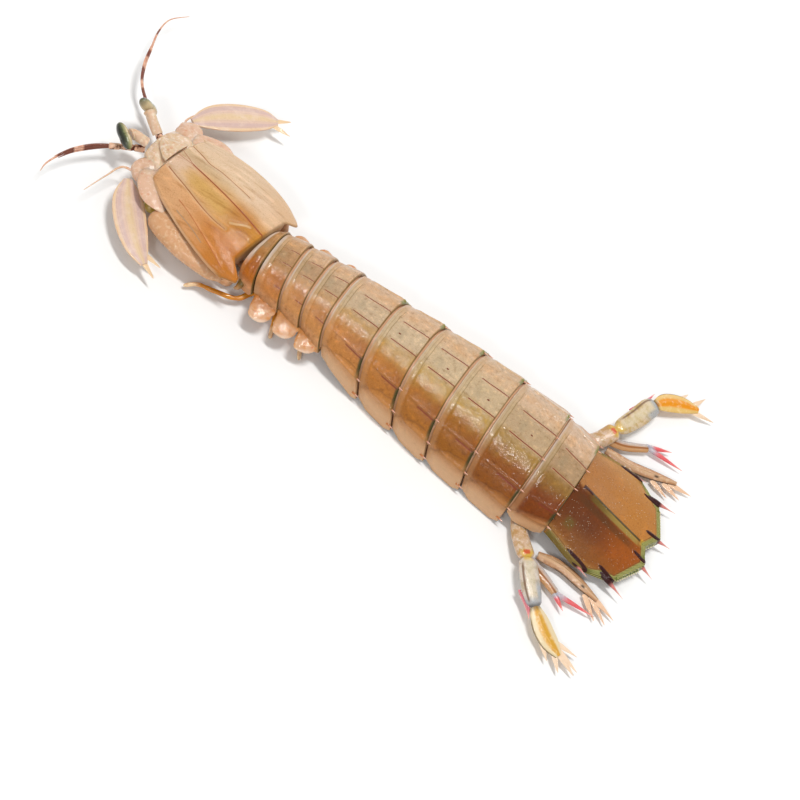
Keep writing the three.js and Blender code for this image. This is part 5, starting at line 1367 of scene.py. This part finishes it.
UROPODS = {
    "L": {
        "base": [(-6.4, 13.6, 1.7), (-3.7, 17.3, 2.2), (0.8, 22.3, 3.6)],
        "fork": [(-1.0, 20.6, 2.0), (5.0, 21.8, 1.5), (11.4, 24.0, 1.6)],
        "prongs": [(21.8, 22.6, 1.3), (14.8, 26.6, 1.5)],
        "outer": [(4.9, 27.5, 3.6), (8.7, 31.4, 3.0)],
        "paddle": [(14.2, 35.2, 2.4), (19.5, 37.3, 1.9)],
        "inner": [(2.6, 18.4, 1.5), (9.0, 17.0, 1.3), (20.4, 18.4, 1.1)],
        "outer_wide": [2.1, 2.5, 2.4, 1.7],
        "movable": ((3.4, 29.9), (7.3, 32.2), (0.9, 1.3)),
        "paddle_starts": [(14.4, 37.2, 2.2), (18.4, 37.6, 1.9), (18.9, 36.6, 1.9), (18.6, 36.0, 1.9),
                          (16.6, 35.0, 2.1)],
        "paddle_tips": [(17.9, 40.1, 1.6), (21.7, 40.7, 1.3), (25.2, 38.8, 1.2), (25.6, 37.5, 1.2),
                        (23.6, 34.2, 1.4)],
        "inner_starts": [(19.2, 18.2, 1.1), (19.0, 18.8, 1.1), (17.4, 19.4, 1.1)],
        "inner_tips": [(26.4, 20.0, 0.9), (25.2, 22.6, 0.9), (22.4, 23.4, 0.9)],
    },
    "R": {
        "base": [(-6.2, -13.5, 1.7), (-0.9, -17.8, 2.4), (1.7, -23.3, 3.7)],
        "fork": [(-0.6, -20.0, 2.0), (5.0, -21.9, 1.5), (11.2, -26.0, 1.6)],
        "prongs": [(21.3, -26.9, 1.3), (16.5, -29.4, 1.5)],
        "outer": [(4.3, -30.2, 3.4), (5.5, -34.8, 3.1), (6.6, -37.3, 2.9)],
        "paddle": [(8.6, -39.9, 2.7), (12.0, -42.4, 2.4), (16.3, -44.6, 1.9)],
        "inner": [(2.48, -17.8, 1.5), (9.0, -18.4, 1.3), (21.6, -22.7, 1.1)],
        "outer_wide": [2.1, 2.6, 2.7, 2.0],
        "movable": ((1.8, -31.2), (4.2, -37.0), (0.3, -1.6)),
        "paddle_starts": [(10.4, -42.4, 2.3), (14.4, -44.2, 1.9), (15.6, -43.2, 1.9)],
        "paddle_tips": [(12.2, -47.2, 1.6), (16.6, -49.6, 1.3), (21.6, -45.0, 1.2)],
        "inner_starts": [(20.4, -21.6, 1.1), (19.2, -20.4, 1.1), (16.4, -19.0, 1.1)],
        "inner_tips": [(26.6, -22.6, 0.9), (24.6, -19.4, 0.9), (21.6, -17.6, 0.9)],
    },
}
ANGLED_GAP = 0.5
# Place of the upper side round a limb, as a share of a full turn
TOP = 0.25


def uropod_base_material():
    look = Finish("uropod_base")
    along = look.field("along")
    turn = look.field("turn")
    blotch = look.noise(0.6, 4)
    fine = look.noise(2.6, 4, 0.65)
    look.colour = look.mix(look.step(blotch, 0.42, 0.66), "cdb094", "b8905c")
    look.paint("e4d6c4", look.step(look.noise(1.4, 3), 0.5, 0.7), 0.6)
    look.paint("cfa83c", look.step(along, 0.8, 0.92), look.near(turn, TOP, 0.13, 0.08), 0.85)
    look.paint("c4431c", look.near(along, 0.9, 0.04, 0.03), look.near(turn, TOP, 0.06, 0.04), 0.9)
    fork = look.mix(look.step(turn, 0.1, 0.35), "b9b0ac", "c09060")
    fork = look.mix(look.near(turn, 0.28, 0.035, 0.04), fork, "99602c")
    look.paint(fork, look.field("fork"))
    prong = look.mix(look.step(along, 0.15, 0.4), "b4aab2", "dc6064")
    prong = look.mix(look.step(along, 0.6, 1.0), prong, "ee9a92")
    look.paint(prong, look.field("prong"))
    look.paint("805a38", look.step(fine, 0.52, 0.72), 0.3)
    height = look.add(look.noise(1.6, 3), look.both(fine, 0.4))
    return look.finish(height, look.scaled(blotch, 0.2, 0.22), bump=0.45, depth=0.2,
                       subsurface=0.3, coat=0.7)


def uropod_outer_material(tag):
    look = Finish(f"uropod_outer_{tag}")
    along = look.field("along")
    turn = look.field("turn")
    blotch = look.noise(0.7, 4)
    fine = look.noise(3.0, 4, 0.65)
    dots = look.fall(look.cells(2.6), 0.12, 0.34)
    outer_side, inner_side = (0.0, 0.5) if tag == "L" else (0.5, 0.0)
    base, shade = ("cfc2b4", "b5a48a") if tag == "L" else ("cdb898", "b89a5c")
    look.colour = look.mix(look.step(blotch, 0.4, 0.68), base, shade)
    look.paint("d2c4a4", look.near(turn, TOP, 0.07, 0.06), 0.5)
    side = look.near(turn, mix(TOP, outer_side, 0.66), 0.1, 0.08)
    blue = look.both(look.step(along, 0.35, 0.6), look.math("MAXIMUM", side, look.step(along, 0.7, 0.88)))
    look.paint(look.mix(dots, "a2a6aa", "65707e"), blue, 0.85)
    look.paint("5f5a55", look.step(along, 0.86, 0.96), 0.75)
    line = look.near(turn, mix(TOP, inner_side, 0.5), 0.022, 0.03)
    look.paint("6a4424", line, look.near(along, 0.5, 0.36, 0.1), 0.8)
    look.paint("6f5c3a", look.step(fine, 0.52, 0.72), 0.3)
    look.paint("cfa83c", look.fall(along, 0.03, 0.12), look.near(turn, TOP, 0.12, 0.08), 0.85)
    spine = look.mix(look.step(along, 0.2, 0.8), "d8707c", "f2a39c")
    look.paint(spine, look.field("spine"))
    height = look.add(look.noise(1.4, 3), look.both(fine, 0.4))
    return look.finish(height, look.scaled(blotch, 0.2, 0.22), bump=0.45, depth=0.2,
                       subsurface=0.25, coat=0.7)


def uropod_paddle_material(tag):
    look = Finish(f"uropod_paddle_{tag}")
    across = look.field("across")
    reach = look.size(across)
    along = look.field("along")
    blotch = look.noise(0.8, 4)
    middle, outer = ("de8c12", "d9b268") if tag == "R" else ("cf9a34", "dbc7a0")
    look.colour = look.mix(look.step(reach, 0.3, 0.62), middle, outer)
    look.paint("ecd6aa", look.step(blotch, 0.5, 0.72), 0.5)
    dark_side = look.step(across, -0.2, 0.2) if tag == "R" else look.step(across, 0.2, -0.2)
    look.paint("6f583a", look.step(reach, 0.88, 0.96), look.step(along, 0.12, 0.25), dark_side, 0.8)
    look.paint("5c4c38", look.fall(along, 0.02, 0.1), 0.6)
    look.paint("eed2b4", look.field("tuft"))
    return look.finish(look.noise(1.5, 3), look.scaled(blotch, 0.2, 0.28), bump=0.4, depth=0.15,
                       subsurface=0.05, coat=0.4)


def uropod_inner_material(tag):
    look = Finish(f"uropod_inner_{tag}")
    across = look.field("across")
    reach = look.size(across)
    along = look.field("along")
    blotch = look.noise(0.8, 4)
    look.colour = look.mix(look.step(reach, 0.2, 0.7), "c9a27c", "ae7e58")
    look.paint("dfc3a4", look.step(blotch, 0.5, 0.7), 0.5)
    look.paint("8a5a34", look.near(across, 0.12, 0.05, 0.06), look.step(along, 0.25, 0.4), 0.7)
    look.paint("4c3f33", look.step(reach, 0.84, 0.93), look.step(along, 0.3, 0.45), 0.85)
    look.paint("3a2a20", look.near(across, -0.2, 0.2, 0.2), look.near(along, 0.8, 0.02, 0.03), 0.9)
    look.paint("e6bd9a", look.field("tuft"))
    return look.finish(look.noise(1.5, 3), look.scaled(blotch, 0.2, 0.28), bump=0.4, depth=0.15,
                       subsurface=0.05, coat=0.4)


def backwards(points):
    return [(-p, y, z) for p, y, z in points]


def build_uropods():
    base_finish = uropod_base_material()
    for tag, limb in UROPODS.items():
        shape = Shape()
        tube(shape, backwards(limb["base"]), [1.7, 2.2, 2.3], [1.0, 1.2, 1.1], 48, 60, (0, 0.12))
        tube(shape, backwards(limb["fork"]), [1.3, 1.4, 1.1], [0.8, 0.6, 0.6], 36, 50, (0, 0.05), fork=1.0)
        p, y, z = limb["fork"][2]
        root = np.array([-(p - 0.8), y, z])
        for prong in backwards(limb["prongs"]):
            tube(shape, [root, (root + prong) / 2, prong], [0.8, 0.55, 0.05], [0.5, 0.4, 0.05], 20, 36,
                 (0, 0), prong=1.0)
        make(f"uropod_stem_{tag}", shape, base_finish, [f"uropod_base_{tag}"])

        shape = Shape()
        outer = following(limb["base"], limb["outer"], ANGLED_GAP)
        joined = following(limb["base"], limb["outer"], -0.6)
        tube(shape, backwards(joined), limb["outer_wide"], [0.9, 1.0, 1.0, 0.8], 56, 80, (0.14, 0.12))
        (p0, y0), (p1, y1), lean = limb["movable"]
        for i in range(9):
            t = i / 8
            start = np.array([-mix(p0, p1, t), mix(y0, y1, t), 2.9])
            reach = 0.8 + 1.1 * t ** 3
            spike(shape, start, start + [-lean[0] * reach, lean[1] * reach, -0.3], 0.34, spine=1.0)
        make(f"uropod_blade_{tag}", shape, uropod_outer_material(tag), [f"uropod_outer_{tag}"])

        shape = Shape()
        paddle = backwards(following(outer, limb["paddle"], -0.3))
        blade(shape, paddle, [1.3, 2.4, 2.6, 2.2, 0.9], [1.3, 2.3, 2.5, 2.1, 0.9], [0.5, 0.4], 60, 31, 0.2)
        strands(shape, backwards(limb["paddle_starts"]), backwards(limb["paddle_tips"]), 18, 0.08, 0.6, 0.1,
                0.15)
        make(f"uropod_fan_{tag}", shape, uropod_paddle_material(tag), [f"uropod_paddle_{tag}"])

        shape = Shape()
        half = [1.0, 1.4, 1.5, 1.4, 0.6]
        blade(shape, backwards(limb["inner"]), half, half, [0.5, 0.4], 70, 31, 0.2)
        strands(shape, backwards(limb["inner_starts"]), backwards(limb["inner_tips"]), 16, 0.08, 0.6, 0.1,
                0.15)
        make(f"uropod_leaf_{tag}", shape, uropod_inner_material(tag), [f"uropod_inner_{tag}"])


def build_floor():
    """Plain pale floor under the part"""
    mesh = bpy.data.meshes.new("floor")
    mesh.from_pydata([(-3, -3, 0), (3, -3, 0), (3, 3, 0), (-3, 3, 0)], [], [(0, 1, 2, 3)])
    floor = bpy.data.objects.new("floor", mesh)
    bpy.context.collection.objects.link(floor)
    floor.location.z = -0.0002
    look = Finish("floor_paper")
    colour = look.mix(look.noise(0.05, 2), "efefee", "f6f6f5")
    shader = look.node("ShaderNodeBsdfPrincipled", {"Base Color": colour, "Roughness": 0.8})
    mesh.materials.append(look.close(shader))


# Camera of the photograph, in the body's frame, millimetres
TARGET = np.array([45.5992, 11.0223, 8.0])
RIGHT = Vector((-0.79864, -0.50473, 0.32778))
UP = Vector((0.60182, -0.66979, 0.43498))
FORWARD = Vector((0.0, -0.54464, -0.83867))
DISTANCE = 0.48648
LENS = 92.6


def build_camera():
    data = bpy.data.cameras.new("camera")
    data.lens = LENS
    data.sensor_width = 36
    camera = bpy.data.objects.new("camera", data)
    bpy.context.collection.objects.link(camera)
    target = Vector(body_to_row(TARGET))
    turn = Matrix((RIGHT, UP, -FORWARD)).transposed().to_4x4()
    camera.matrix_world = Matrix.Translation(target - FORWARD * DISTANCE) @ turn
    bpy.context.scene.camera = camera
    return target


# Soft boxes: place from the middle of the view in metres, two sides in metres, power in watts. The key
# hangs over the back, the fill and a small box light the left side, and two low boxes stand on the right.
LIGHTS = {
    "key": ((-0.02, -0.13, 1.05), (0.34, 0.1), 6.6),
    "fill": ((0.15, 0.95, 0.55), (0.7, 0.7), 1.2),
    "left": ((0.1, 0.75, 0.7), (0.14, 0.14), 1.6),
    "low_rear": ((-0.11, -0.87, 0.5), (0.12, 0.2), 0.9),
    "low_front": ((0.2, -0.87, 0.5), (0.12, 0.2), 0.5),
}


def build_light(target):
    for name, (place, size, power) in LIGHTS.items():
        data = bpy.data.lights.new(name, "AREA")
        data.shape = "RECTANGLE"
        data.size, data.size_y = size
        data.energy = power
        light = bpy.data.objects.new(name, data)
        bpy.context.collection.objects.link(light)
        light.location = target + Vector(place)
        light.rotation_euler = (-Vector(place)).to_track_quat("-Z", "Y").to_euler()
    world = bpy.data.worlds.new("studio")
    world.use_nodes = True
    world.node_tree.nodes["Background"].inputs["Color"].default_value = (1, 1, 1, 1)
    world.node_tree.nodes["Background"].inputs["Strength"].default_value = 0.45
    bpy.context.scene.world = world


build_plates()
build_telson()
build_carapace()
build_head()
build_eyes()
build_feelers()
build_scales()
build_claws()
build_maxillipeds()
build_legs()
build_pleopods()
build_uropods()
build_floor()
build_light(build_camera())
bpy.context.scene.view_settings.view_transform = "Standard"
